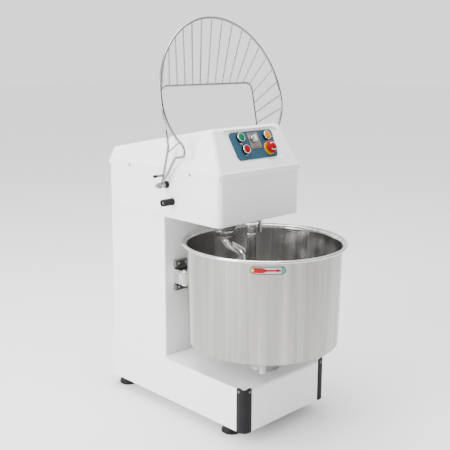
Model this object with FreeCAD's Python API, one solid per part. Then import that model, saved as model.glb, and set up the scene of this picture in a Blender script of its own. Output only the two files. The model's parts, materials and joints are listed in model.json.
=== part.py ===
import FreeCAD, Part
import math
import os

# Floor-standing spiral dough mixer, in millimetres.
# Z is up, the operator stands on the -Y side, X = 0 is the middle of the casing.
# The origin is on the floor, in the middle of the overall depth.

V = FreeCAD.Vector
X_AXIS = V(1, 0, 0)
Y_AXIS = V(0, 1, 0)
Z_AXIS = V(0, 0, 1)

# ---- driving dimensions -------------------------------------------------
DEPTH = 860.0                    # front of the bowl's rim to the end of the cable gland
FOOT_H = 40.0
BASE_W = 390.0
BASE_L = 678.0
BASE_TOP = 184.0
COLUMN_W = 360.0
COLUMN_L = 288.0
HEAD_W = 378.0
HEAD_L = 554.0
HEAD_BOTTOM = 675.0
LID_BOTTOM = 820.0
LID_TOP = 972.0
SHEET = 2.0                      # casing sheet thickness
GAP = 0.4                        # air between pieces that move past each other
RUN = 0.05                       # radial running clearance of a shaft

BOWL_R = 250.0                   # outside, just under the rim
BOWL_FOOT_R = 246.0              # outside, just over the bottom corner
BOWL_BOTTOM = 281.0
BOWL_TOP = 614.0
BOWL_WALL = 2.0
BOWL_CORNER = 8.0                # outside radius of the bottom corner
RIM_R = 266.0
RIM_BEAD_R = 5.0

HOOK_X = -33.0
HOOK_BEHIND_BOWL = 147.0         # hook axis behind the bowl axis
BAR_X = -25.0
BAR_BEHIND_BOWL = 36.0           # breaker bar axis behind the bowl axis
HOOK_COIL_R = 74.0               # centre line of the spiral
HOOK_ROD_R = 14.0
BAR_R = 17.0
BAR_SPIGOT_R = 11.0

GUARD_OPEN_DEG = 104.0           # the guard stands open at rest
GUARD_RIM_R = 270.0
GUARD_ROD_R = 4.0
GUARD_PIVOT_Z = 783.6
GUARD_SIDE = 207.0               # half the width between the side wires
GUARD_LEG_Z = 717.0
GUARD_LEG_RISE = 8.0
GUARD_KNEE = 111.0               # from the pivot forwards to the bend of the leg
GUARD_BAR_BEND = 25.0
GUARD_RIM_Z = 646.0
GUARD_TAIL_R = 160.0             # tighter bend of the rim wire behind its widest point
GUARD_TAIL_S = 118.0
GUARD_TAIL_RISE = 8.0
HUB_X = 211.0
HUB_LENGTH = 13.0
HUB_R = 9.0
PIVOT_R = 5.0
SPOKE_R = 2.2
SPOKE_STEP = 33.2                # spacing of the spokes along the front bar
SPOKE_STEP_LEG = 34.3            # and along the side wires
SPOKES_TO_CORNER = 5
SPOKE_DEG = 9.8                  # spacing of the spokes round the rim wire
SPOKES_EACH_SIDE = 12
BUMPER_R = 11.5

# ---- derived places -----------------------------------------------------
FRONT_Y = -DEPTH / 2
BOWL_Y = FRONT_Y + RIM_R
HOOK_Y = BOWL_Y + HOOK_BEHIND_BOWL
BAR_Y = BOWL_Y + BAR_BEHIND_BOWL
BASE_FRONT = BOWL_Y - 104.5
BASE_REAR = BASE_FRONT + BASE_L
COLUMN_REAR = BASE_REAR - 3.0
COLUMN_FRONT = COLUMN_REAR - COLUMN_L
HEAD_REAR = BASE_REAR - 4.0
HEAD_FRONT = HEAD_REAR - HEAD_L
HEAD_HALF = HEAD_W / 2
GUARD_PIVOT_Y = HEAD_FRONT + 241.0
GUARD_BAR_Y = HEAD_FRONT - 64.0
GUARD_RIM_Y = BOWL_Y + 19.0
BUMPER_Y = GUARD_PIVOT_Y - 26.6
BUMPER_Z = GUARD_PIVOT_Z - 52.4
COVER_T = 2.0

# motor, spindle and lay shaft
HEAD_PLATE_BOTTOM = HEAD_BOTTOM + 9.0
HEAD_PLATE_T = 12.0
HEAD_PLATE_TOP = HEAD_PLATE_BOTTOM + HEAD_PLATE_T
SPINDLE_R = 20.0
SPINDLE_NOSE_R = 14.0            # upper end, which carries the sprocket
SPINDLE_TOP = 790.0
PULLEY_R = 112.0
MOTOR_PULLEY_R = 25.0
PULLEY_Z = 716.0
PULLEY_H = 34.0
MOTOR_X = -60.0
MOTOR_Y = 300.0
MOTOR_R = 85.0
MOTOR_H = 240.0
LAY_X = 95.0
LAY_Y = 170.0
LAY_R = 12.5
CHAIN_PITCH = 12.7
SPROCKET_T = 7.0
UPPER_CHAIN_Z = 762.0
LOWER_CHAIN_Z = 96.0
SPINDLE_TEETH = 12
LAY_UPPER_TEETH = 36
LAY_LOWER_TEETH = 12
BOWL_TEETH = 42
BOWL_SHAFT_R = 22.5
ROLLER_R = 21.0
ROLLER_Z = 463.0
ROLLER_H = 38.0

# lid and control panel
LID_BAND_H = 22.0
LID_BAND_PROUD = 2.0
FACE_FOOT = (HEAD_FRONT + 2.0, LID_BOTTOM + LID_BAND_H)
FACE_RIDGE = (HEAD_FRONT + 70.0, LID_TOP)
LID_WALL = 4.0
RECESS_DEPTH = 5.0
PANEL_T = 2.0
PANEL_X = 10.0                   # the panel's middle lies a little right of the lid's
PANEL_UP = 9.3
START = (-55.0, 27.0)            # places on the panel: across, and up the slope
STOP = (-48.5, -14.0)
JOG = (65.5, 25.5)
ESTOP = (60.0, -17.5)
TIMER = (2.0, 19.0)
TIMER_PLATE = (4.5, 14.0)
BEZEL_R = 15.5
BEZEL_H = 10.0
BUTTON_R = 11.8
BUTTON_TRAVEL = 4.0
BARREL_R = 11.0
PLUNGER_R = 7.6
ESTOP_R = 23.0
ESTOP_COLLAR_H = 4.0
ESTOP_TRAVEL = 5.0


# ---- helpers ------------------------------------------------------------
def box(x0, x1, y0, y1, z0, z1):
    return Part.makeBox(x1 - x0, y1 - y0, z1 - z0, V(x0, y0, z0))


def cyl(radius, height, base, direction=Z_AXIS):
    return Part.makeCylinder(radius, height, base, direction)


def tube(outer, inner, height, base, direction=Z_AXIS):
    return cyl(outer, height, base, direction).cut(cyl(inner, height, base, direction))


def joined(shapes):
    return shapes[0].multiFuse(shapes[1:]).removeSplitter()


def mirrored(shape):
    return shape.mirror(V(0, 0, 0), X_AXIS)


def both_sides(shape):
    return [shape, mirrored(shape)]


def plan_block(half, y0, y1, z0, z1, r_front, r_rear):
    """Block whose four upright corners are rounded."""
    block = box(-half, half, y0, y1, z0, z1)
    front = [e for e in block.Edges if is_upright(e) and abs(e.CenterOfMass.y - y0) < 0.01]
    block = block.makeFillet(r_front, front)
    if r_rear:
        rear = [e for e in block.Edges if is_upright(e) and abs(e.CenterOfMass.y - y1) < 0.01]
        block = block.makeFillet(r_rear, rear)
    return block


def is_upright(edge):
    ends = [v.Point for v in edge.Vertexes]
    return len(ends) == 2 and (ends[0] - ends[1]).cross(Z_AXIS).Length < 1e-6


def prism_x(points, half):
    """Side outline of (y, z) points, drawn out along X both ways from the middle."""
    wire = Part.makePolygon([V(-half, y, z) for y, z in points + points[:1]])
    return Part.Face(wire).extrude(V(2 * half, 0, 0))


def prism_y(points, y0, y1):
    """Front outline of (x, z) points, drawn out along Y."""
    wire = Part.makePolygon([V(x, y0, z) for x, z in points + points[:1]])
    return Part.Face(wire).extrude(V(0, y1 - y0, 0))


def turned(points, axis_x, axis_y):
    """Half section of (radius, z) points turned about an upright axis."""
    wire = Part.makePolygon([V(axis_x + r, axis_y, z) for r, z in points + points[:1]])
    return Part.Face(wire).revolve(V(axis_x, axis_y, 0), Z_AXIS, 360)


def bent_path(points, bends):
    """Straight runs through the points, with a tangent arc of the given radius at each inner one."""
    edges = []
    start = points[0]
    for before, corner, after, radius in zip(points, points[1:], points[2:], bends):
        back = (before - corner).normalize()
        ahead = (after - corner).normalize()
        half_turn = (math.pi - back.getAngle(ahead)) / 2
        reach = radius * math.tan(half_turn)
        first = corner + back * reach
        last = corner + ahead * reach
        middle_way = (back + ahead).normalize()
        centre = corner + middle_way * (radius / math.cos(half_turn))
        middle = centre - middle_way * radius
        edges.append(Part.LineSegment(start, first).toShape())
        edges.append(Part.Arc(first, middle, last).toShape())
        start = last
    edges.append(Part.LineSegment(start, points[-1]).toShape())
    return edges


def swept_rod(edges, radius):
    """Round rod along a chain of tangent edges."""
    path = Part.Wire(edges)
    start = path.OrderedVertexes[0].Point
    first = path.OrderedEdges[0]
    direction = first.tangentAt(first.FirstParameter)
    profile = Part.Wire(Part.makeCircle(radius, start, direction))
    return path.makePipeShell([profile], True, False)


def loop_face(x1, y1, r1, x2, y2, r2, z):
    """Flat face inside the loop that a belt makes round two wheels."""
    span = math.hypot(x2 - x1, y2 - y1)
    heading = math.atan2(y2 - y1, x2 - x1)
    lean = math.acos((r1 - r2) / span)

    def on(x, y, r, angle):
        return V(x + r * math.cos(angle), y + r * math.sin(angle), z)

    a = on(x1, y1, r1, heading + lean)
    b = on(x2, y2, r2, heading + lean)
    c = on(x2, y2, r2, heading - lean)
    d = on(x1, y1, r1, heading - lean)
    edges = [Part.LineSegment(a, b).toShape(),
             Part.Arc(b, on(x2, y2, r2, heading), c).toShape(),
             Part.LineSegment(c, d).toShape(),
             Part.Arc(d, on(x1, y1, r1, heading + math.pi), a).toShape()]
    return Part.Face(Part.Wire(edges))


def loop_band(wheel_1, wheel_2, inner, outer, z, height):
    """Closed band round two wheels (x, y, r), from inner to outer, beyond each wheel's radius."""
    x1, y1, r1 = wheel_1
    x2, y2, r2 = wheel_2
    big = loop_face(x1, y1, r1 + outer, x2, y2, r2 + outer, z).extrude(V(0, 0, height))
    small = loop_face(x1, y1, r1 + inner, x2, y2, r2 + inner, z).extrude(V(0, 0, height))
    return big.cut(small)


def pitch_radius(teeth):
    return CHAIN_PITCH / math.sin(math.pi / teeth) / 2


def sprocket(teeth, x, y, z, hub_r, hub_h, bore_r):
    """Chain wheel with plain trapezoid teeth, centred on height z, with a hub under it."""
    pitch_r = pitch_radius(teeth)
    root_r = pitch_r - 4.0
    tip_r = pitch_r + 3.0
    step = 2 * math.pi / teeth
    points = []
    for i in range(teeth):
        for share, radius in ((-0.34, root_r), (-0.12, tip_r), (0.12, tip_r), (0.34, root_r)):
            angle = (i + share) * step
            points.append(V(x + radius * math.cos(angle), y + radius * math.sin(angle), z - SPROCKET_T / 2))
    disc = Part.Face(Part.makePolygon(points + points[:1])).extrude(V(0, 0, SPROCKET_T))
    hub = cyl(hub_r, hub_h, V(x, y, z - SPROCKET_T / 2 - hub_h + 1.0))
    bore = cyl(bore_r, hub_h + SPROCKET_T + 4, V(x, y, z - SPROCKET_T - hub_h))
    return disc.fuse(hub).cut(bore)


def grooved_pulley(x, y, radius, z, height, bore_r):
    """Pulley with two V grooves and a recessed web."""
    rim = cyl(radius, height, V(x, y, z))
    for groove_z in (z + height * 0.28, z + height * 0.72):
        rim = rim.cut(turned([(radius + 1, groove_z - 7.5), (radius + 1, groove_z + 7.5),
                              (radius - 11, groove_z + 5.5), (radius - 11, groove_z - 5.5)], x, y))
    return rim.cut(cyl(bore_r, height + 2, V(x, y, z - 1)))


def bearing(x, y, z, shaft_r, outer_r, height):
    """Ball bearing as one ring with a grooved face, running on its shaft."""
    ring = tube(outer_r, shaft_r + RUN, height, V(x, y, z))
    middle = (outer_r + shaft_r) / 2
    seal = tube(middle + 4, middle - 4, 1.0, V(x, y, z + height - 1.0))
    return ring.cut(seal)


# ---- base ---------------------------------------------------------------
def feet():
    """Four conical rubber feet with their threaded studs."""
    shapes = []
    for x, y in foot_places():
        cone = Part.makeCone(33.0, 21.0, FOOT_H - GAP, V(x, y, 0))
        edges = [e for e in cone.Edges if abs(e.CenterOfMass.z) < 0.01 and e.Closed]
        cone = cone.makeFillet(4.0, edges)
        stud = cyl(5.0, 14.0, V(x, y, FOOT_H - GAP))
        shapes.append(cone.fuse(stud))
    return Part.makeCompound(shapes)


def foot_places():
    return [(x, y) for x in (-147.0, 147.0) for y in (BASE_FRONT + 102.0, BASE_REAR - 34.0)]


def base_tray():
    """Welded floor of the base: a plate, two side channels and the bearer under the bowl's shaft."""
    inside = BASE_W / 2 - SHEET - GAP
    y0 = BASE_FRONT + SHEET + 4.0
    y1 = BASE_REAR - SHEET - GAP
    plate = plan_block(inside, y0, y1, FOOT_H, FOOT_H + 4, 20.0, 8.0)
    channels = [box(-inside, -inside + 4, y0 + 24, y1 - 10, FOOT_H + 4, FOOT_H + 34),
                box(inside - 4, inside, y0 + 24, y1 - 10, FOOT_H + 4, FOOT_H + 34)]
    bearer = box(-inside, inside, BOWL_Y - 55, BOWL_Y + 55, FOOT_H + 4, FOOT_H + 12)
    tray = joined([plate, bearer] + channels)
    tray = tray.cut(cyl(42.5, 30, V(0, BOWL_Y, FOOT_H - 5)))
    for x, y in foot_places():
        tray = tray.cut(cyl(5.2, 30, V(x, y, FOOT_H - 5)))
    return tray


def base_casing():
    """Folded sheet cover of the base: top, sides and back, open in front and below."""
    half = BASE_W / 2
    outer = plan_block(half, BASE_FRONT, BASE_REAR, FOOT_H, BASE_TOP, 20.0, 8.0)
    top_edges = [e for e in outer.Edges if abs(e.CenterOfMass.z - BASE_TOP) < 0.01]
    outer = outer.makeFillet(3.0, top_edges)
    inner = plan_block(half - SHEET, BASE_FRONT + SHEET, BASE_REAR - SHEET,
                       FOOT_H - 1, BASE_TOP - SHEET, 18.0, 6.0)
    shell = outer.cut(inner)
    window = box(-half + 42, half - 42, BASE_FRONT - 1, BASE_FRONT + SHEET + 1, FOOT_H + 10, BASE_TOP - 12)
    shaft_hole = cyl(56.0, 20, V(0, BOWL_Y, BASE_TOP - 10))
    column_hole = box(-COLUMN_W / 2 + 20, COLUMN_W / 2 - 20, COLUMN_FRONT + 20, COLUMN_REAR - 20,
                      BASE_TOP - 10, BASE_TOP + 10)
    gland_hole = cyl(10.2, 20, V(120, BASE_REAR - 10, FOOT_H + 60), Y_AXIS)
    shell = shell.cut(window).cut(shaft_hole).cut(column_hole).cut(gland_hole)
    for x, y, direction in corner_screw_places():
        shell = shell.cut(joined(both_sides(cyl(2.3, 20, V(x, y, BASE_TOP - 6) - direction * 10, direction))))
    return shell


def base_front_panel():
    """Removable sheet over the front window of the base."""
    half = BASE_W / 2 - 34
    panel = box(-half, half, BASE_FRONT - SHEET, BASE_FRONT, FOOT_H + 2, BASE_TOP - 4)
    edges = [e for e in panel.Edges if abs(e.CenterOfMass.y - BASE_FRONT + SHEET) < 0.01]
    return panel.makeFillet(1.2, edges)


def corner_guard():
    """Moulded rubber guard round the front left corner of the base, with a dip between two rounded lobes."""
    wrap = 31.0
    proud = 4.0
    z0 = FOOT_H + 1
    outer_corner = plan_block(BASE_W / 2 + proud, BASE_FRONT - proud, BASE_REAR, z0, BASE_TOP + 6, 24.0, 0)
    inner_corner = plan_block(BASE_W / 2 + GAP / 4, BASE_FRONT - GAP / 4, BASE_REAR + 1, z0 - 1,
                              BASE_TOP + 7, 20.0, 0)
    skin = outer_corner.cut(inner_corner)
    keep_side = box(-BASE_W, -BASE_W / 2 + wrap, BASE_FRONT - 20, BASE_FRONT + wrap, z0 - 1, BASE_TOP + 8)
    guard = skin.common(keep_side)
    ends = [e for e in guard.Edges if is_upright(e)]
    far = [e for e in ends if e.CenterOfMass.x > -BASE_W / 2 + wrap - 0.5
           and e.CenterOfMass.y < BASE_FRONT - proud + 0.5]
    far += [e for e in ends if e.CenterOfMass.y > BASE_FRONT + wrap - 0.5
            and e.CenterOfMass.x < -BASE_W / 2 - proud + 0.5]
    guard = guard.makeFillet(2.5, far)
    top = BASE_TOP + 6
    side_end = BASE_FRONT + wrap
    front_end = -BASE_W / 2 + wrap
    round_r = 8.0
    face = -BASE_W / 2
    low = top - round_r
    side_round = box(face - 10, face + 1, side_end - round_r, side_end + 1, low, top + 1)
    side_round = side_round.cut(cyl(round_r, 20, V(face - 15, side_end - round_r, low), X_AXIS))
    front_round = box(front_end - round_r, front_end + 1, BASE_FRONT - 10, BASE_FRONT + 1, low, top + 1)
    front_round = front_round.cut(cyl(round_r, 20, V(front_end - round_r, BASE_FRONT - 15, low), Y_AXIS))
    inwards = V(1, 1, 0).normalize()
    dip = cyl(14.0, 60.0, V(-BASE_W / 2, BASE_FRONT, top + 9.5) - inwards * 30, inwards)
    for x, y, direction in corner_screw_places():
        guard = guard.cut(cyl(2.3, 20, V(x, y, BASE_TOP - 6) - direction * 10, direction))
    return guard.cut(side_round).cut(front_round).cut(dip)


def corner_screw_places():
    """Screws of the left guard: one through the side, one through the front."""
    return [(-BASE_W / 2, BASE_FRONT + 21.0, V(-1, 0, 0)),
            (-BASE_W / 2 + 21.0, BASE_FRONT, V(0, -1, 0))]


# ---- column -------------------------------------------------------------
def column_casing():
    """Folded sheet column: front and two sides with flanges, open at the back, top and bottom."""
    half = COLUMN_W / 2
    outer = box(-half, half, COLUMN_FRONT, COLUMN_REAR, BASE_TOP, HEAD_BOTTOM)
    edges = [e for e in outer.Edges if is_upright(e)]
    outer = outer.makeFillet(4.0, edges)
    inner = box(-half + SHEET, half - SHEET, COLUMN_FRONT + SHEET, COLUMN_REAR - SHEET,
                BASE_TOP - 1, HEAD_BOTTOM + 1)
    rear_window = box(-half + 22, half - 22, COLUMN_REAR - SHEET - 1, COLUMN_REAR + 1,
                      BASE_TOP + 22, HEAD_BOTTOM - 22)
    shell = outer.cut(inner).cut(rear_window)
    for x in (-1, 1):
        for z in (ROLLER_Z - 38, ROLLER_Z + 38):
            shell = shell.cut(cyl(4.2, 10, V(x * 98, COLUMN_FRONT - 5, z), Y_AXIS))
    for x, z in rear_screw_places():
        shell = shell.cut(cyl(2.3, 10, V(x, COLUMN_REAR - 5, z), Y_AXIS))
    return shell


def column_rear_cover():
    """Louvred plate that closes the back of the column."""
    half = COLUMN_W / 2 - 10
    plate = box(-half, half, COLUMN_REAR, COLUMN_REAR + COVER_T, BASE_TOP + 10, HEAD_BOTTOM - 10)
    for i in range(9):
        z = BASE_TOP + 250 + i * 20.0
        plate = plate.cut(box(-90, 90, COLUMN_REAR - 1, COLUMN_REAR + COVER_T + 1, z, z + 7))
    for x, z in rear_screw_places():
        plate = plate.cut(cyl(2.7, 10, V(x, COLUMN_REAR - 4, z), Y_AXIS))
    return plate


def rear_screw_places():
    return [(x, z) for x in (-162.0, 162.0) for z in (BASE_TOP + 20, 430.0, HEAD_BOTTOM - 20)]


def casing_screws():
    """All the cross-head cover screws: corner guards, rear cover and lid."""
    def screw(point, direction):
        head = Part.makeSphere(5.4, point - direction * 3.0)
        head = head.cut(cyl(8.0, 12.0, point - direction * 12.0, direction))
        shank = cyl(2.0, 9.0, point - direction * 9.0, direction)
        across = V(0, 0, 1)
        other = across.cross(direction)
        cross = joined([cyl(0.6, 4.0, point + direction * 2.2 - across * 2.0, across),
                        cyl(0.6, 4.0, point + direction * 2.2 - other * 2.0, other)])
        return head.fuse(shank).cut(cross)

    shapes = []
    for x, y, direction in corner_screw_places():
        point = V(x, y, BASE_TOP - 6) + direction * 4.0
        shapes += both_sides(screw(point, direction))
    for x, z in rear_screw_places():
        shapes.append(screw(V(x, COLUMN_REAR + COVER_T, z), Y_AXIS))
    for y in lid_screw_places():
        point = V(-HEAD_HALF - LID_BAND_PROUD, y, LID_BOTTOM + 7)
        shapes += both_sides(screw(point, V(-1, 0, 0)))
    return Part.makeCompound(shapes)


def lid_screw_places():
    return [HEAD_FRONT + 129.0, HEAD_REAR - 122.0]


# ---- head ---------------------------------------------------------------
def head_casing():
    """Sheet box of the head, open on top, with holes below for the spindle, the bar and the column."""
    outer = plan_block(HEAD_HALF, HEAD_FRONT, HEAD_REAR, HEAD_BOTTOM, LID_BOTTOM, 22.0, 22.0)
    low_edges = [e for e in outer.Edges if abs(e.CenterOfMass.z - HEAD_BOTTOM) < 0.01]
    outer = outer.makeFillet(3.0, low_edges)
    inner = plan_block(HEAD_HALF - SHEET, HEAD_FRONT + SHEET, HEAD_REAR - SHEET,
                       HEAD_BOTTOM + SHEET, LID_BOTTOM + 1, 20.0, 20.0)
    shell = outer.cut(inner)
    shell = shell.cut(cyl(46.0, 10, V(HOOK_X, HOOK_Y, HEAD_BOTTOM - 4)))
    shell = shell.cut(cyl(BAR_R + 1, 7, V(BAR_X, BAR_Y, HEAD_BOTTOM - 4)))
    shell = shell.cut(box(-COLUMN_W / 2 + 22, COLUMN_W / 2 - 22, COLUMN_FRONT + 22, COLUMN_REAR - 22,
                          HEAD_BOTTOM - 4, HEAD_BOTTOM + 6))
    for side in (-1, 1):
        start = V(side * (HEAD_HALF + 5), GUARD_PIVOT_Y, GUARD_PIVOT_Z)
        shell = shell.cut(cyl(8.0, 20, start, V(-side, 0, 0)))
        start = V(side * (HEAD_HALF + 5), BUMPER_Y, BUMPER_Z)
        shell = shell.cut(cyl(4.2, 20, start, V(-side, 0, 0)))
    return shell


def head_plate():
    """Thick machined plate that carries the spindle, the bar, the motor and the lay shaft."""
    half = HEAD_HALF - SHEET - 3
    plate = plan_block(half, HEAD_FRONT + 4, HEAD_REAR - 30, HEAD_PLATE_BOTTOM, HEAD_PLATE_TOP, 20.0, 20.0)
    ledge = box(-half, half, COLUMN_FRONT - 30, COLUMN_FRONT + 10, HEAD_BOTTOM + SHEET, HEAD_PLATE_BOTTOM)
    plate = plate.fuse(ledge)
    plate = plate.cut(cyl(42.0, 40, V(HOOK_X, HOOK_Y, HEAD_BOTTOM)))
    plate = plate.cut(cyl(BAR_SPIGOT_R, 40, V(BAR_X, BAR_Y, HEAD_BOTTOM)))
    plate = plate.cut(cyl(30.0, 40, V(MOTOR_X, MOTOR_Y, HEAD_BOTTOM)))
    plate = plate.cut(cyl(26.0, 40, V(LAY_X, LAY_Y, HEAD_BOTTOM)))
    return plate


def lid_body(inset, face_inset, radius):
    """Outside of the moulded lid, or its hollow when inset: a wedge with sides that lean in."""
    foot_y, foot_z = FACE_FOOT
    ridge_y, ridge_z = FACE_RIDGE
    rear_y = HEAD_REAR - 3.0
    outline = [(foot_y + face_inset, foot_z - LID_BAND_H), (foot_y + face_inset, foot_z),
               (ridge_y + face_inset, ridge_z - inset), (rear_y - 11 - inset, LID_TOP - 94 - inset),
               (rear_y - inset, foot_z), (rear_y - inset, foot_z - LID_BAND_H)]
    wedge = prism_x(outline, HEAD_HALF + 5)
    low = HEAD_HALF - 2 - inset
    high = low - 30
    sides = prism_y([(-low, foot_z - LID_BAND_H), (low, foot_z - LID_BAND_H), (low, foot_z),
                     (high, LID_TOP), (-high, LID_TOP), (-low, foot_z)], HEAD_FRONT - 5, HEAD_REAR + 5)
    body = wedge.common(sides)
    edges = [e for e in body.Edges if e.CenterOfMass.z > foot_z + 2]
    return body.makeFillet(radius, edges)


def lid():
    """One moulded cover over the head, with a proud rim, a panel recess and two side grips."""
    rim = plan_block(HEAD_HALF + LID_BAND_PROUD, HEAD_FRONT - LID_BAND_PROUD, HEAD_REAR + LID_BAND_PROUD,
                     LID_BOTTOM + GAP / 2, LID_BOTTOM + LID_BAND_H, 24.0, 24.0)
    top_edges = [e for e in rim.Edges if abs(e.CenterOfMass.z - LID_BOTTOM - LID_BAND_H) < 0.01]
    rim = rim.makeFillet(2.0, top_edges)
    outer = rim.fuse(lid_body(0, 0, 15.0))
    hollow = lid_body(LID_WALL, LID_WALL + RECESS_DEPTH + 3, 10.0)
    hollow = hollow.cut(joined(both_sides(side_grip(LID_WALL))))
    below = plan_block(HEAD_HALF - 4, HEAD_FRONT + 12, HEAD_REAR - 6, LID_BOTTOM - 1,
                       LID_BOTTOM + LID_BAND_H - LID_WALL, 18.0, 18.0)
    shell = outer.cut(hollow).cut(below)
    shell = shell.cut(panel_prism(124.0, 112.0, -56.0, 55.0, -RECESS_DEPTH, 30.0))
    shell = shell.cut(joined(both_sides(side_grip(0))))
    for x, up, radius in control_holes():
        shell = shell.cut(panel_cylinder(x, up, radius + 0.6, -40.0, 45.0))
    for y in lid_screw_places():
        start = V(-HEAD_HALF - 10, y, LID_BOTTOM + 7)
        shell = shell.cut(joined(both_sides(cyl(2.3, 30, start, X_AXIS))))
    return shell


def side_grip(extra):
    """Scoop in the lid's left side: steep at its front end, and fading out towards the back."""
    deep = 13.0 + extra
    x_face = -HEAD_HALF + 4
    y0 = HEAD_FRONT + 99.0 - extra
    y1 = y0 + 92.0 + 2 * extra
    z0 = LID_BOTTOM + 47.0 - extra
    z1 = z0 + 78.0 + 2 * extra
    points = [V(x_face - 30, y0, z0), V(x_face + deep + 6, y0, z0), V(x_face + deep, y0 + 14, z0),
              V(x_face - 4, y1, z0), V(x_face - 30, y1, z0)]
    scoop = Part.Face(Part.makePolygon(points + points[:1])).extrude(V(14, 0, z1 - z0))
    edges = [e for e in scoop.Edges if e.CenterOfMass.x > x_face - 20]
    return scoop.makeFillet(5.0, edges)


# ---- control panel ------------------------------------------------------
def panel_frame():
    """Placement whose X runs across the panel, Y up its slope and Z out of it."""
    foot_y, foot_z = FACE_FOOT
    ridge_y, ridge_z = FACE_RIDGE
    lean = math.atan2(ridge_y - foot_y, ridge_z - foot_z)
    middle = V(0, (foot_y + ridge_y) / 2, (foot_z + ridge_z) / 2)
    turn = FreeCAD.Rotation(X_AXIS, 90 - math.degrees(lean))
    return FreeCAD.Placement(middle + turn.multVec(V(PANEL_X, PANEL_UP, 0)), turn)


def on_panel(shape):
    shape.Placement = panel_frame().multiply(shape.Placement)
    return shape


def panel_cylinder(x, up, radius, z0, height):
    return on_panel(cyl(radius, height, V(x, up, z0)))


def panel_prism(top_half, bottom_half, low, high, z0, height):
    points = [V(-bottom_half, low, z0), V(bottom_half, low, z0),
              V(top_half, high, z0), V(-top_half, high, z0)]
    block = Part.Face(Part.makePolygon(points + points[:1])).extrude(V(0, 0, height))
    edges = [e for e in block.Edges if is_upright(e)]
    return on_panel(block.makeFillet(14.0, edges))


def control_holes():
    """Panel cut-outs: (across, up the slope, radius)."""
    return [START + (11.0,), STOP + (11.0,), JOG + (11.0,), ESTOP + (11.0,), TIMER + (6.0,)]


def control_panel():
    """Coloured plate in the lid's recess, wider at the top."""
    plate = panel_prism(100.5, 91.0, -47.0, 47.0, -RECESS_DEPTH + GAP / 2, PANEL_T)
    for x, up, radius in control_holes():
        plate = plate.cut(panel_cylinder(x, up, radius + 0.2, -30.0, 60.0))
    return plate


PANEL_FACE = -RECESS_DEPTH + GAP / 2 + PANEL_T


def timer_plate():
    """Raised scale plate round the timer's knob."""
    plate = Part.makeBox(49.0, 54.0, 1.6, V(TIMER_PLATE[0] - 24.5, TIMER_PLATE[1] - 27.0, PANEL_FACE))
    edges = [e for e in plate.Edges if is_upright(e)]
    plate = plate.makeFillet(3.0, edges)
    dial = tube(19.0, 16.5, 0.8, V(TIMER[0], TIMER[1], PANEL_FACE + 1.6))
    plate = plate.fuse(dial).cut(cyl(6.3, 10, V(TIMER[0], TIMER[1], PANEL_FACE - 2)))
    return on_panel(plate)


def timer_knob():
    """Clockwork timer knob with a grip bar and its shaft through the panel."""
    x, up = TIMER
    skirt = Part.makeCone(13.0, 12.0, 5.0, V(x, up, PANEL_FACE + 1.6 + GAP))
    grip = Part.makeBox(7.0, 23.0, 12.0, V(x - 3.5, up - 11.5, PANEL_FACE + 5))
    ends = [e for e in grip.Edges if is_upright(e)]
    grip = grip.makeFillet(3.0, ends)
    shaft = cyl(3.0, 34.0, V(x, up, PANEL_FACE - 30))
    return on_panel(joined([skirt, grip, shaft]))


def button_body(place):
    """Fixed half of a push button: bezel cup, threaded barrel, nut and contact block."""
    x, up = place
    bezel = cyl(BEZEL_R, BEZEL_H, V(x, up, PANEL_FACE))
    edge = [e for e in bezel.Edges if e.Closed and e.CenterOfMass.z > PANEL_FACE + BEZEL_H - 0.01]
    bezel = bezel.makeFillet(1.5, edge).cut(cyl(BUTTON_R + GAP, BEZEL_H, V(x, up, PANEL_FACE + 1.0)))
    barrel = cyl(BARREL_R, 30.0, V(x, up, PANEL_FACE - 30))
    nut = cyl(15.0, 4.0, V(x, up, -RECESS_DEPTH - LID_WALL - 8.0))
    block = box(x - 13, x + 13, up - 13, up + 13, PANEL_FACE - 52, PANEL_FACE - 30)
    body = joined([bezel, barrel, nut, block])
    return body.cut(cyl(PLUNGER_R + GAP, 30.0, V(x, up, PANEL_FACE - 25.0)))


def button_bodies():
    """The three identical push-button bodies."""
    return on_panel(Part.makeCompound([button_body(place) for place in (START, STOP, JOG)]))


def button_cap(place):
    """Moving half of a push button: domed cap and plunger."""
    x, up = place
    low = PANEL_FACE + 1.0 + BUTTON_TRAVEL + 0.5
    cap = cyl(BUTTON_R, 6.5, V(x, up, low))
    edge = [e for e in cap.Edges if e.Closed and e.CenterOfMass.z > low + 6]
    cap = cap.makeFillet(1.5, edge)
    plunger = cyl(PLUNGER_R, low - PANEL_FACE + 18.0, V(x, up, PANEL_FACE - 18.0))
    return on_panel(cap.fuse(plunger))


def estop_body():
    """Yellow collar, barrel and contact block of the emergency stop."""
    x, up = ESTOP
    collar = Part.makeCone(ESTOP_R + 1, ESTOP_R - 1, ESTOP_COLLAR_H, V(x, up, PANEL_FACE))
    barrel = cyl(BARREL_R, 30.0, V(x, up, PANEL_FACE - 30))
    nut = cyl(15.0, 4.0, V(x, up, -RECESS_DEPTH - LID_WALL - 8.0))
    block = box(x - 15, x + 15, up - 15, up + 15, PANEL_FACE - 56, PANEL_FACE - 30)
    body = joined([collar, barrel, nut, block])
    return on_panel(body.cut(cyl(PLUNGER_R + GAP, 40.0, V(x, up, PANEL_FACE - 27.0))))


def estop_stem():
    """Plunger that the mushroom turns on."""
    x, up = ESTOP
    stem = cyl(PLUNGER_R, 19.0, V(x, up, PANEL_FACE - 20))
    pin = cyl(4.0, 11.0, V(x, up, PANEL_FACE - 1))
    return on_panel(stem.fuse(pin))


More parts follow.
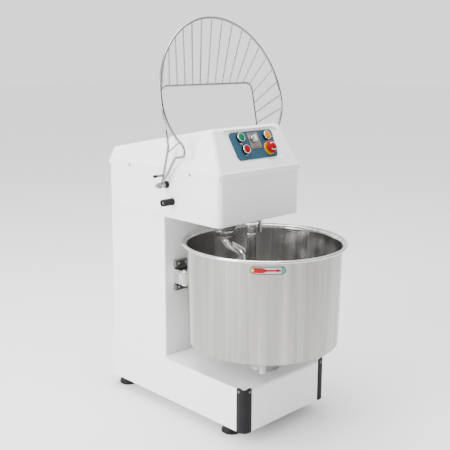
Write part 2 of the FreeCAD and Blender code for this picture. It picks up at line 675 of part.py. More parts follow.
def estop_mushroom():
    """Red mushroom head, fluted round its edge, with a blind hole for the stem's pin."""
    x, up = ESTOP
    low = PANEL_FACE + ESTOP_COLLAR_H + ESTOP_TRAVEL + 0.6
    head = cyl(ESTOP_R, 9.0, V(x, up, low))
    ball = Part.makeSphere(44.0, V(x, up, low + 12.0 - 44.0))
    top = cyl(ESTOP_R, 8.0, V(x, up, low + 5.0)).common(ball)
    head = head.common(ball).fuse(top)
    for i in range(16):
        angle = i * math.pi / 8
        head = head.cut(cyl(1.6, 8.0, V(x + (ESTOP_R + 0.8) * math.cos(angle),
                                      up + (ESTOP_R + 0.8) * math.sin(angle), low - 1)))
    neck = cyl(PLUNGER_R, 11.0, V(x, up, low - 9.0))
    head = head.fuse(neck).cut(cyl(4.0 + RUN, 14.0, V(x, up, low - 12.0)))
    return on_panel(head)


# ---- bowl and its drive -------------------------------------------------
def bowl():
    """Deep stainless bowl with a flared, rolled rim."""
    corner = BOWL_CORNER
    flare_z = BOWL_TOP - 16

    def section(inset):
        foot = BOWL_FOOT_R - inset
        low = BOWL_BOTTOM + inset
        radius = corner - inset
        bend = radius * (1 - math.sqrt(0.5))
        return [Part.LineSegment(V(0, 0, low), V(foot - radius, 0, low)).toShape(),
                Part.Arc(V(foot - radius, 0, low), V(foot - bend, 0, low + bend),
                         V(foot, 0, low + radius)).toShape(),
                Part.LineSegment(V(foot, 0, low + radius), V(BOWL_R - inset, 0, flare_z)).toShape(),
                Part.Arc(V(BOWL_R - inset, 0, flare_z), V(BOWL_R - inset + 3.2, 0, flare_z + 9 + inset / 2),
                         V(RIM_R - RIM_BEAD_R, 0, BOWL_TOP - BOWL_WALL + inset)).toShape()]

    outside = section(0)
    inside = section(BOWL_WALL)
    floor_line = Part.LineSegment(V(0, 0, BOWL_BOTTOM), V(0, 0, BOWL_BOTTOM + BOWL_WALL)).toShape()
    lip_line = Part.LineSegment(V(RIM_R - RIM_BEAD_R, 0, BOWL_TOP - BOWL_WALL),
                                V(RIM_R - RIM_BEAD_R, 0, BOWL_TOP)).toShape()
    face = Part.Face(Part.Wire(Part.__sortEdges__(outside + [lip_line] + inside + [floor_line])))
    shell = face.revolve(V(0, 0, 0), Z_AXIS, 360)
    bead = Part.makeTorus(RIM_R - RIM_BEAD_R, RIM_BEAD_R, V(0, 0, BOWL_TOP - RIM_BEAD_R))
    whole = shell.fuse(bead)
    whole.translate(V(0, BOWL_Y, 0))
    return whole


def direction_label():
    """Thin plate on the bowl's side that shows which way it turns."""
    length = 108.0
    height = 24.0
    middle_z = BOWL_TOP - 32.0
    outer = tube(BOWL_R + 0.9, BOWL_R + 0.1, height, V(0, BOWL_Y, middle_z - height / 2))
    reach = BOWL_R + 20
    blank = Part.makeBox(length, reach, height, V(-length / 2, -reach, middle_z - height / 2))
    ends = [e for e in blank.Edges if abs(e.tangentAt(e.FirstParameter).y) > 0.99]
    blank = blank.makeFillet(height / 2 - 0.1, ends)
    blank.rotate(V(0, 0, 0), Z_AXIS, -45.0)
    blank.translate(V(0, BOWL_Y, 0))
    return outer.common(blank)


def bowl_spider():
    """Cast hub under the bowl with four arms that end in bosses."""
    hub_z = BOWL_BOTTOM - 44.0
    hub = cyl(48.0, 43.6, V(0, BOWL_Y, hub_z))
    parts = [hub]
    for i in range(4):
        arm = prism_x([(0.0, hub_z + 8), (196.0, hub_z + 9), (196.0, hub_z + 26), (0.0, hub_z + 43.6)], 7.0)
        boss = cyl(10.0, 43.6 - 3, V(0, 196.0, hub_z + 3))
        piece = arm.fuse(boss)
        piece.rotate(V(0, 0, 0), Z_AXIS, 42.5 + 90.0 * i)
        piece.translate(V(0, BOWL_Y, 0))
        parts.append(piece)
    spider = joined(parts)
    return spider.cut(cyl(BOWL_SHAFT_R, 30, V(0, BOWL_Y, hub_z - 5)))


def bowl_shaft():
    """Upright shaft from the base's bearer up into the spider's hub."""
    shaft = cyl(BOWL_SHAFT_R, BOWL_BOTTOM - 19.0 - FOOT_H - 8.0, V(0, BOWL_Y, FOOT_H + 8.0))
    collar = tube(30.0, BOWL_SHAFT_R - 1, 8.0, V(0, BOWL_Y, BASE_TOP + 24.0))
    return shaft.fuse(collar)


def bowl_sprocket():
    return sprocket(BOWL_TEETH, 0, BOWL_Y, LOWER_CHAIN_Z, 40.0, 22.0, BOWL_SHAFT_R)


def bowl_bearing_housing():
    """Turned housing for the bowl shaft; its round flange is bolted up under the base's top sheet."""
    under = BASE_TOP - SHEET
    body = turned([(42.6, BASE_TOP - 60), (55.5, BASE_TOP - 60), (55.5, under - 7), (95.0, under - 7),
                   (95.0, under), (55.5, under), (55.5, BASE_TOP + 4), (50.0, BASE_TOP + 16),
                   (42.6, BASE_TOP + 16)], 0, BOWL_Y)
    for i in range(6):
        angle = math.radians(30 + 60 * i)
        place = V(78 * math.cos(angle), BOWL_Y + 78 * math.sin(angle), under - 12)
        body = body.fuse(cyl(6.5, 5.0, place).cut(cyl(3.0, 3.0, place - Z_AXIS * 0.5)))
    return body


def bearings():
    """Ball bearings of the bowl shaft, the spindle and the lay shaft."""
    rings = [bearing(0, BOWL_Y, BASE_TOP - 58, BOWL_SHAFT_R, 42.5, 19),
             bearing(0, BOWL_Y, BASE_TOP - 8, BOWL_SHAFT_R, 42.5, 19),
             bearing(HOOK_X, HOOK_Y, 646.0, SPINDLE_R, 36.0, 18),
             bearing(HOOK_X, HOOK_Y, 686.0, SPINDLE_R, 36.0, 18),
             bearing(LAY_X, LAY_Y, FOOT_H + 6, LAY_R, 26.0, 15),
             bearing(LAY_X, LAY_Y, HEAD_PLATE_BOTTOM - 1, LAY_R, 25.9, 15)]
    return Part.makeCompound(rings)


def lay_shaft_support():
    """Cast foot that holds the lay shaft's lower bearing on the tray."""
    body = cyl(36.0, 20.0, V(LAY_X, LAY_Y, FOOT_H + 4))
    foot = box(LAY_X - 60, LAY_X + 60, LAY_Y - 22, LAY_Y + 22, FOOT_H + 4, FOOT_H + 12)
    body = body.fuse(foot)
    body = body.cut(cyl(26.0, 30, V(LAY_X, LAY_Y, FOOT_H + 6)))
    return body


def lay_shaft():
    """Upright lay shaft down the column."""
    return cyl(LAY_R, UPPER_CHAIN_Z + 12.0 - FOOT_H - 8.0, V(LAY_X, LAY_Y, FOOT_H + 8.0))


def lay_sprockets():
    """The lay shaft's two chain wheels."""
    upper = sprocket(LAY_UPPER_TEETH, LAY_X, LAY_Y, UPPER_CHAIN_Z, 24.0, 22.0, LAY_R)
    lower = sprocket(LAY_LOWER_TEETH, LAY_X, LAY_Y, LOWER_CHAIN_Z, 17.0, 18.0, LAY_R)
    return Part.makeCompound([upper, lower])


def chain(x1, y1, teeth_1, x2, y2, teeth_2, z):
    """Chain round two wheels, as its two rows of side plates."""
    wheel_1 = (x1, y1, pitch_radius(teeth_1))
    wheel_2 = (x2, y2, pitch_radius(teeth_2))
    rows = [loop_band(wheel_1, wheel_2, -5.0, 5.0, z + SPROCKET_T / 2 + 1.0, 1.6),
            loop_band(wheel_1, wheel_2, -5.0, 5.0, z - SPROCKET_T / 2 - 2.6, 1.6)]
    return rows


def drive_chains():
    """Upper chain from the spindle to the lay shaft, and lower chain from there to the bowl."""
    upper = chain(LAY_X, LAY_Y, LAY_UPPER_TEETH, HOOK_X, HOOK_Y, SPINDLE_TEETH, UPPER_CHAIN_Z)
    lower = chain(0, BOWL_Y, BOWL_TEETH, LAY_X, LAY_Y, LAY_LOWER_TEETH, LOWER_CHAIN_Z)
    return Part.makeCompound(upper + lower)


# ---- spindle, hook and breaker bar --------------------------------------
def spindle_housing():
    """Bearing housing bolted to the head plate, with its nose below the head."""
    return turned([(36.05, 642.0), (42.0, 642.0), (42.0, HEAD_PLATE_TOP), (60.0, HEAD_PLATE_TOP),
                   (60.0, HEAD_PLATE_TOP + 8), (36.05, HEAD_PLATE_TOP + 8)], HOOK_X, HOOK_Y)


def hook_spindle():
    """Spindle with the round flange that carries the hook."""
    flange = cyl(34.0, 12.0, V(HOOK_X, HOOK_Y, 628.0))
    shaft = cyl(SPINDLE_R, PULLEY_Z + PULLEY_H + 1.0 - 640.0, V(HOOK_X, HOOK_Y, 640.0))
    nose = cyl(SPINDLE_NOSE_R, SPINDLE_TOP - 640.0, V(HOOK_X, HOOK_Y, 640.0))
    return joined([flange, shaft, nose])


def spindle_pulley():
    wheel = grooved_pulley(HOOK_X, HOOK_Y, PULLEY_R, PULLEY_Z, PULLEY_H, SPINDLE_R)
    web = tube(88.0, 34.0, 12.0, V(HOOK_X, HOOK_Y, PULLEY_Z + PULLEY_H - 11))
    below = tube(88.0, 34.0, 12.0, V(HOOK_X, HOOK_Y, PULLEY_Z - 1))
    return wheel.cut(web).cut(below)


def spindle_sprocket():
    return sprocket(SPINDLE_TEETH, HOOK_X, HOOK_Y, UPPER_CHAIN_Z, 19.9, 1.5, SPINDLE_NOSE_R)


def v_belts():
    """The two drive belts, side by side in the pulleys' grooves."""
    belts = []
    for share in (0.28, 0.72):
        z = PULLEY_Z + PULLEY_H * share - 4.5
        belts.append(loop_band((HOOK_X, HOOK_Y, PULLEY_R), (MOTOR_X, MOTOR_Y, MOTOR_PULLEY_R),
                               -9.0, -0.5, z, 9.0))
    return Part.makeCompound(belts)


def hook():
    """Spiral dough hook: clamping hub, an arm that swings out, and a round coil down to the bowl's floor."""
    hub_bottom = 606.0
    hub = turned([(0, hub_bottom), (26.0, hub_bottom), (29.0, hub_bottom + 3), (29.0, 624.0), (34.0, 626.0),
                  (34.0, 628.0 - GAP / 2), (0, 628.0 - GAP / 2)], HOOK_X, HOOK_Y)
    low_z = BOWL_BOTTOM + BOWL_WALL + 10.0 + HOOK_ROD_R
    turns = 1.25
    start_angle = math.radians(20.0)
    arm_z = hub_bottom - 34.0
    steps = 44
    points = [V(0, 0, hub_bottom + 8), V(0, 0, hub_bottom - 6)]
    for i in range(steps + 1):
        t = i / steps
        angle = start_angle - 2 * math.pi * turns * t
        grow = min(1.0, t / 0.14)
        radius = HOOK_COIL_R * (0.42 + 0.58 * math.sin(grow * math.pi / 2))
        shrink = max(0.0, (t - 0.86) / 0.14)
        radius *= 1 - 0.45 * shrink ** 1.6
        z = arm_z + (low_z - arm_z) * (t ** 0.92)
        points.append(V(radius * math.cos(angle), radius * math.sin(angle), z))
    curve = Part.BSplineCurve()
    curve.interpolate(points)
    path = Part.Wire([curve.toShape()])
    profile = Part.Wire(Part.makeCircle(HOOK_ROD_R, points[0], V(0, 0, -1)))
    coil = path.makePipeShell([profile], True, True)
    coil.translate(V(HOOK_X, HOOK_Y, 0))
    tip = Part.makeSphere(HOOK_ROD_R, points[-1] + V(HOOK_X, HOOK_Y, 0))
    return hub.fuse(coil).fuse(tip)


def breaker_bar():
    """Fixed round bar in front of the hook, with a stepped top and a rounded foot."""
    low = BOWL_BOTTOM + BOWL_WALL + 18.0
    bar = cyl(BAR_R, HEAD_PLATE_BOTTOM - low, V(BAR_X, BAR_Y, low))
    edges = [e for e in bar.Edges if e.Closed and e.CenterOfMass.z < low + 1]
    bar = bar.makeFillet(8.0, edges)
    spigot = cyl(BAR_SPIGOT_R, HEAD_PLATE_TOP + 16.0 - low - 20, V(BAR_X, BAR_Y, low + 20))
    collar = tube(BAR_R + 6, BAR_R - 1, 10.0, V(BAR_X, BAR_Y, HEAD_BOTTOM - 12.0))
    across = V(-1, -1, 0).normalize()
    middle = V(BAR_X, BAR_Y, 650.0)
    bolt = cyl(5.0, 2 * BAR_R + 12, middle - across * (BAR_R + 6), across)
    heads = [cyl(8.0, 5.0, middle - across * (BAR_R + 6), across),
             cyl(8.0, 5.0, middle + across * (BAR_R + 1), across)]
    return joined([bar, spigot, collar, bolt] + heads)


def bar_nut():
    """Nut that holds the bar's spigot on top of the head plate."""
    reach = 19.0
    sides = [V(BAR_X + reach * math.cos(math.radians(60 * i)), BAR_Y + reach * math.sin(math.radians(60 * i)),
               HEAD_PLATE_TOP) for i in range(6)]
    block = Part.Face(Part.makePolygon(sides + sides[:1])).extrude(V(0, 0, 12.0))
    return block.cut(cyl(BAR_SPIGOT_R, 20, V(BAR_X, BAR_Y, HEAD_PLATE_TOP - 2)))


def front_tab():
    """Small folded angle that hangs under the front of the head."""
    x0 = 3.0
    y0 = HEAD_FRONT + 8.0
    z0 = HEAD_BOTTOM - 42.0
    face = box(x0, x0 + 11.0, y0, y0 + 2.5, z0, HEAD_BOTTOM)
    side = box(x0, x0 + 2.5, y0, y0 + 11.0, z0, HEAD_BOTTOM)
    tab = joined([face, side])
    return tab.makeFillet(2.0, [e for e in tab.Edges if is_upright(e) and e.CenterOfMass.x < x0 + 0.1
                                and e.CenterOfMass.y < y0 + 0.1])


# ---- motor and electrics ------------------------------------------------
def motor():
    """Flanged motor hung under the head plate, with cooling ribs, a fan cowl and a terminal box."""
    top = HEAD_PLATE_BOTTOM
    flange = cyl(80.0, 10.0, V(MOTOR_X, MOTOR_Y, top - 10))
    body = cyl(MOTOR_R - 10, MOTOR_H - 60, V(MOTOR_X, MOTOR_Y, top - MOTOR_H + 50))
    cowl = cyl(MOTOR_R - 4, 50, V(MOTOR_X, MOTOR_Y, top - MOTOR_H))
    parts = [flange, body, cowl]
    for i in range(24):
        rib = box(MOTOR_R - 12, MOTOR_R, -1.5, 1.5, top - MOTOR_H + 56, top - 22)
        rib.rotate(V(0, 0, 0), Z_AXIS, 15.0 * i)
        rib.translate(V(MOTOR_X, MOTOR_Y, 0))
        parts.append(rib)
    parts.append(box(MOTOR_X + MOTOR_R - 14, MOTOR_X + MOTOR_R + 30, MOTOR_Y - 35, MOTOR_Y + 35,
                     top - 150, top - 70))
    whole = joined(parts)
    return whole.cut(cyl(12.0 + 1, 40, V(MOTOR_X, MOTOR_Y, top - 38)))


def motor_pulley():
    """Small pulley on the motor's shaft end."""
    wheel = grooved_pulley(MOTOR_X, MOTOR_Y, MOTOR_PULLEY_R, PULLEY_Z, PULLEY_H, 5.0)
    shaft = cyl(12.0, 70.0, V(MOTOR_X, MOTOR_Y, PULLEY_Z - 66.0))
    plug = cyl(5.0, PULLEY_H, V(MOTOR_X, MOTOR_Y, PULLEY_Z))
    return joined([wheel, shaft, plug])


def control_box():
    """Contactor box in the back of the head."""
    y0 = LAY_Y + pitch_radius(LAY_UPPER_TEETH) + 16
    shell = box(40.0, 165.0, y0, HEAD_REAR - 36, HEAD_PLATE_TOP, HEAD_PLATE_TOP + 90)
    edges = [e for e in shell.Edges if is_upright(e)]
    return shell.makeFillet(5.0, edges)


def cable_gland():
    """Mains inlet low on the back: nut, threaded body and domed cap."""
    x = 120.0
    z = FOOT_H + 60
    start = V(x, BASE_REAR - 10, z)
    body = cyl(10.0, 14.0, start, Y_AXIS)
    flange = cyl(14.0, 5.0, V(x, BASE_REAR, z), Y_AXIS)
    dome = Part.makeCone(12.5, 9.0, DEPTH / 2 - BASE_REAR - 5.0, V(x, BASE_REAR + 5, z), Y_AXIS)
    nut = cyl(14.0, 4.0, V(x, BASE_REAR - SHEET - 4.0, z), Y_AXIS)
    whole = joined([body, flange, dome, nut])
    return whole.cut(cyl(4.5, 80, V(x, BASE_REAR - 30, z), Y_AXIS))


# ---- bowl guide rollers -------------------------------------------------
def roller_place():
    """Centre of the left guide roller, which runs on the bowl's side at azimuth 122 degrees."""
    share = (ROLLER_Z - BOWL_BOTTOM - BOWL_CORNER) / (BOWL_TOP - 16 - BOWL_BOTTOM - BOWL_CORNER)
    wall_r = BOWL_FOOT_R + (BOWL_R - BOWL_FOOT_R) * share
    reach = wall_r + ROLLER_R + 2 * GAP
    angle = math.radians(119.0)
    return reach * math.cos(angle), BOWL_Y + reach * math.sin(angle)


def roller_bracket():
    """Left bracket: rubber-backed plate on the column and a channel arm that forks round the roller."""
    x, y = roller_place()
    y1 = COLUMN_FRONT
    back = box(-142.0, -84.0, y1 - 5.0, y1, ROLLER_Z - 30, ROLLER_Z + 30)
    plates = []
    for z in (ROLLER_Z - ROLLER_H / 2 - 5.0, ROLLER_Z + ROLLER_H / 2 + 1.0):
        arm = box(-142.0, -84.0, y, y1 - 5.0, z, z + 4.0)
        nose = cyl(14.0, 4.0, V(x, y, z))
        plates.append(arm.fuse(nose).cut(cyl(6.0, 8.0, V(x, y, z - 2))))
    cheek = box(-142.0, -138.0, y1 - 26.0, y1 - 5.0,
                ROLLER_Z - ROLLER_H / 2 - 5.0, ROLLER_Z + ROLLER_H / 2 + 5.0)
    return joined([back, cheek] + plates)


def roller_pad():
    """Black backing pad between the left bracket and the column."""
    pads = [box(-142.0, -84.0, COLUMN_FRONT - 14.0, COLUMN_FRONT, ROLLER_Z + 30.4, ROLLER_Z + 54.0),
            box(-142.0, -84.0, COLUMN_FRONT - 14.0, COLUMN_FRONT, ROLLER_Z - 50.0, ROLLER_Z - 30.4)]
    return pads


def roller_pads():
    return Part.makeCompound(roller_pad() + [mirrored(p) for p in roller_pad()])


def guide_roller():
    """Left nylon roller with a shallow crown groove, turning on its pin."""
    x, y = roller_place()
    z = ROLLER_Z - ROLLER_H / 2
    wheel = turned([(6.0 + RUN, z), (ROLLER_R - 1.5, z), (ROLLER_R, z + 1.5), (ROLLER_R, z + ROLLER_H - 1.5),
                    (ROLLER_R - 1.5, z + ROLLER_H), (6.0 + RUN, z + ROLLER_H)], x, y)
    return wheel


def roller_pins():
    """Headed pins of both guide rollers."""
    x, y = roller_place()
    z = ROLLER_Z - ROLLER_H / 2 - 5.0
    pin = joined([cyl(6.0, ROLLER_H + 14.0, V(x, y, z - 2)), cyl(9.0, 5.0, V(x, y, z + ROLLER_H + 10.0)),
                  cyl(8.0, 3.0, V(x, y, z - 3.0))])
    return Part.makeCompound(both_sides(pin))


# ---- wire guard ---------------------------------------------------------
def opened(shape):
    """Turn a guard piece from its closed place to its open place at rest."""
    shape.rotate(V(0, GUARD_PIVOT_Y, GUARD_PIVOT_Z), X_AXIS, -GUARD_OPEN_DEG)
    return shape


def inner_wire_edges():
    side = GUARD_SIDE
    points = []
    for x in (-side, side):
        leg = [V(x * HUB_X / side, GUARD_PIVOT_Y, GUARD_PIVOT_Z),
               V(x, GUARD_PIVOT_Y - GUARD_KNEE, GUARD_LEG_Z + GUARD_LEG_RISE),
               V(x, GUARD_BAR_Y, GUARD_LEG_Z)]
        points += leg if x < 0 else leg[::-1]
    return bent_path(points, [40.0, GUARD_BAR_BEND, GUARD_BAR_BEND, 40.0])


def tail_point(angle):
    """Point on the right tail of the rim wire, which bends in and rises behind the widest point."""
    share = angle / math.asin(GUARD_TAIL_S / GUARD_TAIL_R)
    return V(GUARD_RIM_R - GUARD_TAIL_R + GUARD_TAIL_R * math.cos(angle),
             GUARD_RIM_Y + GUARD_TAIL_R * math.sin(angle),
             GUARD_RIM_Z + GUARD_TAIL_RISE * share ** 2)


def rim_wire_edges():
    """Front half circle, a tighter bend each side, then the crank up to the hub."""
    turn = math.asin(GUARD_TAIL_S / GUARD_TAIL_R)
    end = tail_point(turn)
    heading = V(-math.sin(turn), math.cos(turn), 2 * GUARD_TAIL_RISE / turn / GUARD_TAIL_R).normalize()
    tail = Part.BSplineCurve()
    tail.interpolate(Points=[tail_point(turn * i / 8) for i in range(9)],
                     InitialTangent=Y_AXIS, FinalTangent=heading)
    corner = end + heading * 18.0
    crank = [end, corner, V(corner.x, GUARD_PIVOT_Y - 73.0, corner.z),
             V(corner.x, GUARD_PIVOT_Y - 76.0, GUARD_RIM_Z + 55.0), V(HUB_X, GUARD_PIVOT_Y, GUARD_PIVOT_Z)]
    right = [tail.toShape()] + bent_path(crank, [20.0, 10.0, 10.0])
    front = Part.Arc(V(-GUARD_RIM_R, GUARD_RIM_Y, GUARD_RIM_Z), V(0, GUARD_RIM_Y - GUARD_RIM_R, GUARD_RIM_Z),
                     V(GUARD_RIM_R, GUARD_RIM_Y, GUARD_RIM_Z)).toShape()
    left = [e.mirror(V(0, 0, 0), X_AXIS) for e in right]
    return Part.__sortEdges__(left + [front] + right)


def rim_point(angle):
    """Point on the rim wire; the angle is measured from the front, towards +X."""
    if abs(angle) <= math.pi / 2:
        return V(GUARD_RIM_R * math.sin(angle), GUARD_RIM_Y - GUARD_RIM_R * math.cos(angle), GUARD_RIM_Z)
    back = min(-GUARD_RIM_R * math.cos(angle), GUARD_TAIL_S)
    point = tail_point(math.asin(back / GUARD_TAIL_R))
    return V(math.copysign(point.x, angle), point.y, point.z)


def inner_wire_point(distance):
    """Point on the inner wire at a distance along it from the middle of its front bar."""
    half_bar = GUARD_SIDE - GUARD_BAR_BEND
    bend = GUARD_BAR_BEND * math.pi / 2
    length = abs(distance)
    if length <= half_bar:
        return V(distance, GUARD_BAR_Y, GUARD_LEG_Z)
    side = math.copysign(1.0, distance)
    if length <= half_bar + bend:
        angle = (length - half_bar) / GUARD_BAR_BEND
        return V(side * (half_bar + GUARD_BAR_BEND * math.sin(angle)),
                 GUARD_BAR_Y + GUARD_BAR_BEND * (1 - math.cos(angle)), GUARD_LEG_Z)
    along = length - half_bar - bend
    leg = V(0, GUARD_PIVOT_Y - GUARD_KNEE - GUARD_BAR_Y, GUARD_LEG_RISE)
    start = V(side * GUARD_SIDE, GUARD_BAR_Y, GUARD_LEG_Z)
    past_knee = along + GUARD_BAR_BEND - leg.Length
    if past_knee <= 0:
        return start + leg.normalize() * (along + GUARD_BAR_BEND)
    climb = V(0, GUARD_KNEE, GUARD_PIVOT_Z - GUARD_LEG_Z - GUARD_LEG_RISE)
    return start + leg + climb.normalize() * past_knee


def spoke_start(i):
    """Spokes are counted from the middle one, out to each side."""
    count = abs(i)
    distance = min(count, SPOKES_TO_CORNER) * SPOKE_STEP
    distance += max(count - SPOKES_TO_CORNER, 0) * SPOKE_STEP_LEG
    return inner_wire_point(math.copysign(distance, i))


def hub_blank():
    return cyl(HUB_R, HUB_LENGTH, V(-HUB_X - HUB_LENGTH / 2, GUARD_PIVOT_Y, GUARD_PIVOT_Z), X_AXIS)


def guard_inner_wire():
    wire = swept_rod(inner_wire_edges(), GUARD_ROD_R)
    return opened(wire.cut(joined(both_sides(hub_blank()))))


def guard_rim_wire():
    wire = swept_rod(rim_wire_edges(), GUARD_ROD_R)
    wire = wire.cut(joined(both_sides(hub_blank())))
    return opened(wire.cut(swept_rod(inner_wire_edges(), GUARD_ROD_R)))


def guard_spokes():
    """Thin wires fanned between the inner wire and the rim wire."""
    inner = swept_rod(inner_wire_edges(), GUARD_ROD_R)
    rim = swept_rod(rim_wire_edges(), GUARD_ROD_R)
    wires = []
    for i in range(-SPOKES_EACH_SIDE, SPOKES_EACH_SIDE + 1):
        start = spoke_start(i)
        end = rim_point(math.radians(i * SPOKE_DEG))
        spoke = cyl(SPOKE_R, (end - start).Length, start, (end - start).normalize())
        wires.append(opened(spoke.cut(inner).cut(rim)))
    return Part.makeCompound(wires)


def guard_pivots():
    """Stub shafts of the guard with their hubs, shoulders, nuts and the side studs."""
    x_in = -HEAD_HALF + 22.0
    x_out = -HUB_X - HUB_LENGTH / 2
    y, z = GUARD_PIVOT_Y, GUARD_PIVOT_Z
    shaft = cyl(PIVOT_R, x_in - x_out + 18.0, V(x_out - 18.0, y, z), X_AXIS)
    shoulder = cyl(7.0, 6.0, V(-HEAD_HALF - 14.0, y, z), X_AXIS)
    nut_points = [V(x_out - 11, y + 9.8 * math.cos(math.radians(60 * i)),
                    z + 9.8 * math.sin(math.radians(60 * i))) for i in range(6)]
    nut = Part.Face(Part.makePolygon(nut_points + nut_points[:1])).extrude(V(9.0, 0, 0))
    washer = cyl(11.0, 2.0, V(x_out - 2.0, y, z), X_AXIS)
    retainer = cyl(9.0, 5.0, V(x_in - 5.0, y, z), X_AXIS)
    hub = hub_blank()
    side = joined([shaft, shoulder, nut, washer, hub, retainer])
    stud_y, stud_z = stud_place()
    stud = cyl(3.6, 41.0, V(-GUARD_SIDE - 3.0 - 41.0, stud_y, stud_z), X_AXIS)
    stud = stud.cut(swept_rod(inner_wire_edges(), GUARD_ROD_R))
    return Part.makeCompound([opened(s) for s in both_sides(side) + both_sides(stud)])


def stud_place():
    """The stud stands on the sloping part of the inner wire's leg, near the pivot."""
    run = V(0, -GUARD_KNEE, GUARD_LEG_Z + GUARD_LEG_RISE - GUARD_PIVOT_Z)
    step = run.normalize() * 34.0
    return GUARD_PIVOT_Y + step.y, GUARD_PIVOT_Z + step.z


def guard_cam():
    """Cam on the left stub shaft, inside the head, that works the safety switch."""
    y, z = GUARD_PIVOT_Y, GUARD_PIVOT_Z
    x0 = -HEAD_HALF + 8.0
    disc = cyl(14.0, 7.0, V(x0, y, z), X_AXIS)
    lobe = cyl(7.0, 7.0, V(x0, y + 12.0, z), X_AXIS)
    return opened(disc.fuse(lobe).cut(cyl(PIVOT_R, 20, V(x0 - 5, y, z), X_AXIS)))


def guard_switch():
    """Safety switch beside the cam."""
    y, z = GUARD_PIVOT_Y, GUARD_PIVOT_Z
    x0 = -HEAD_HALF + 5.0
    body = box(x0, x0 + 16, y + 26.0, y + 56.0, z - 24, z + 20)
    edges = [e for e in body.Edges if abs(e.tangentAt(e.FirstParameter).x) > 0.99]
    body = body.makeFillet(3.0, edges)
    lever = box(x0 + 3, x0 + 9, y + 21.0, y + 26.0, z - 16, z + 12)
    return body.fuse(lever)


def guard_bushes():
    """Flanged plastic bushes in the head's sides for the guard's stub shafts."""
    start = V(-HEAD_HALF - 6.0, GUARD_PIVOT_Y, GUARD_PIVOT_Z)
    flange = cyl(12.0, 6.0, start, X_AXIS)
    sleeve = cyl(7.9, 11.0, start, X_AXIS)
    bush = flange.fuse(sleeve).cut(cyl(PIVOT_R + RUN, 30, start - X_AXIS * 5, X_AXIS))
    return Part.makeCompound(both_sides(bush))


def guard_bumpers():
    """Rubber rests that the closed guard's cranks lie on."""
    start = V(-HEAD_HALF - 44.0, BUMPER_Y, BUMPER_Z)
    body = cyl(BUMPER_R, 44.0, start, X_AXIS)
    edges = [e for e in body.Edges if e.Closed]
    body = body.makeFillet(2.0, edges)
    body = body.cut(cyl(6.0, 8.0, start - X_AXIS, X_AXIS))
    stud = cyl(4.0, 10.0, V(-HEAD_HALF, BUMPER_Y, BUMPER_Z), X_AXIS)
    return Part.makeCompound(both_sides(body.fuse(stud)))


# ---- all sub-parts ------------------------------------------------------
NODES = {
    "feet": feet, "base_tray": base_tray, "base_casing": base_casing, "base_front_panel": base_front_panel,
    "corner_guard_left": corner_guard, "corner_guard_right": lambda: mirrored(corner_guard()),
    "casing_screws": casing_screws, "column_casing": column_casing, "column_rear_cover": column_rear_cover,
    "head_casing": head_casing, "head_plate": head_plate, "lid": lid,
    "control_panel": control_panel, "timer_plate": timer_plate, "timer_knob": timer_knob,
    "button_bodies": button_bodies, "start_button": lambda: button_cap(START),
    "stop_button": lambda: button_cap(STOP), "jog_button": lambda: button_cap(JOG),
    "estop_body": estop_body, "estop_stem": estop_stem, "estop_mushroom": estop_mushroom,
    "bowl": bowl, "direction_label": direction_label, "bowl_spider": bowl_spider,
    "bowl_shaft": bowl_shaft, "bowl_sprocket": bowl_sprocket,
    "bowl_bearing_housing": bowl_bearing_housing, "bearings": bearings,
    "lay_shaft": lay_shaft, "lay_sprockets": lay_sprockets, "lay_shaft_support": lay_shaft_support,
    "drive_chains": drive_chains,
    "spindle_housing": spindle_housing, "hook_spindle": hook_spindle,
    "spindle_pulley": spindle_pulley, "spindle_sprocket": spindle_sprocket, "v_belts": v_belts,
    "hook": hook, "breaker_bar": breaker_bar, "bar_nut": bar_nut, "front_tab": front_tab,
    "motor": motor, "motor_pulley": motor_pulley, "control_box": control_box, "cable_gland": cable_gland,
    "roller_bracket_left": roller_bracket, "roller_bracket_right": lambda: mirrored(roller_bracket()),
    "roller_pads": roller_pads, "roller_pins": roller_pins,
    "guide_roller_left": guide_roller, "guide_roller_right": lambda: mirrored(guide_roller()),
    "guard_inner_wire": guard_inner_wire, "guard_rim_wire": guard_rim_wire, "guard_spokes": guard_spokes,
    "guard_pivots": guard_pivots, "guard_cam": guard_cam, "guard_switch": guard_switch,
    "guard_bushes": guard_bushes, "guard_bumpers": guard_bumpers,
}

os.makedirs("parts", exist_ok=True)
for name, make in NODES.items():
    shape = make()
    shape.exportStep("parts/" + name + ".step")
    print(name, len(shape.Solids), round(shape.Volume / 1000, 1), "valid" if shape.isValid() else "INVALID")
print(len(NODES), "nodes")
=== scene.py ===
"""Looks of the spiral dough mixer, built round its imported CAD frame. Lengths are in metres."""

import json
import math

import bpy
from mathutils import Matrix, Vector


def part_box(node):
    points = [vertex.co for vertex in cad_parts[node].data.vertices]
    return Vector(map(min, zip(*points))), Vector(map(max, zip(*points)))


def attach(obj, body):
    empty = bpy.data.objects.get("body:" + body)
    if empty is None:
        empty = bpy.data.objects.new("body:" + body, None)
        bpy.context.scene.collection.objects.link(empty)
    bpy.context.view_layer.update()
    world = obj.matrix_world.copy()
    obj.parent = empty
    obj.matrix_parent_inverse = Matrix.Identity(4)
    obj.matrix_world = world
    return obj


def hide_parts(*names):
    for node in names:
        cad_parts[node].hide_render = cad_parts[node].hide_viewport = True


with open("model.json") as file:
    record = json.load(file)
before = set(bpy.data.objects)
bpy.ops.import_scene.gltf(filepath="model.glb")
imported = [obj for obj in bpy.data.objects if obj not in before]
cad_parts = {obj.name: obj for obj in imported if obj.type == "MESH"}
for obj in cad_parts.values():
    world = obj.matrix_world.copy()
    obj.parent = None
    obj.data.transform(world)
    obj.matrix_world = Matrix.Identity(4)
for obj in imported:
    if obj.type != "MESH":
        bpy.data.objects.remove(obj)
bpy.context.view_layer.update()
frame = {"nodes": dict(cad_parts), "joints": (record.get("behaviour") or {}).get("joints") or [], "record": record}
NODES = frame["nodes"]
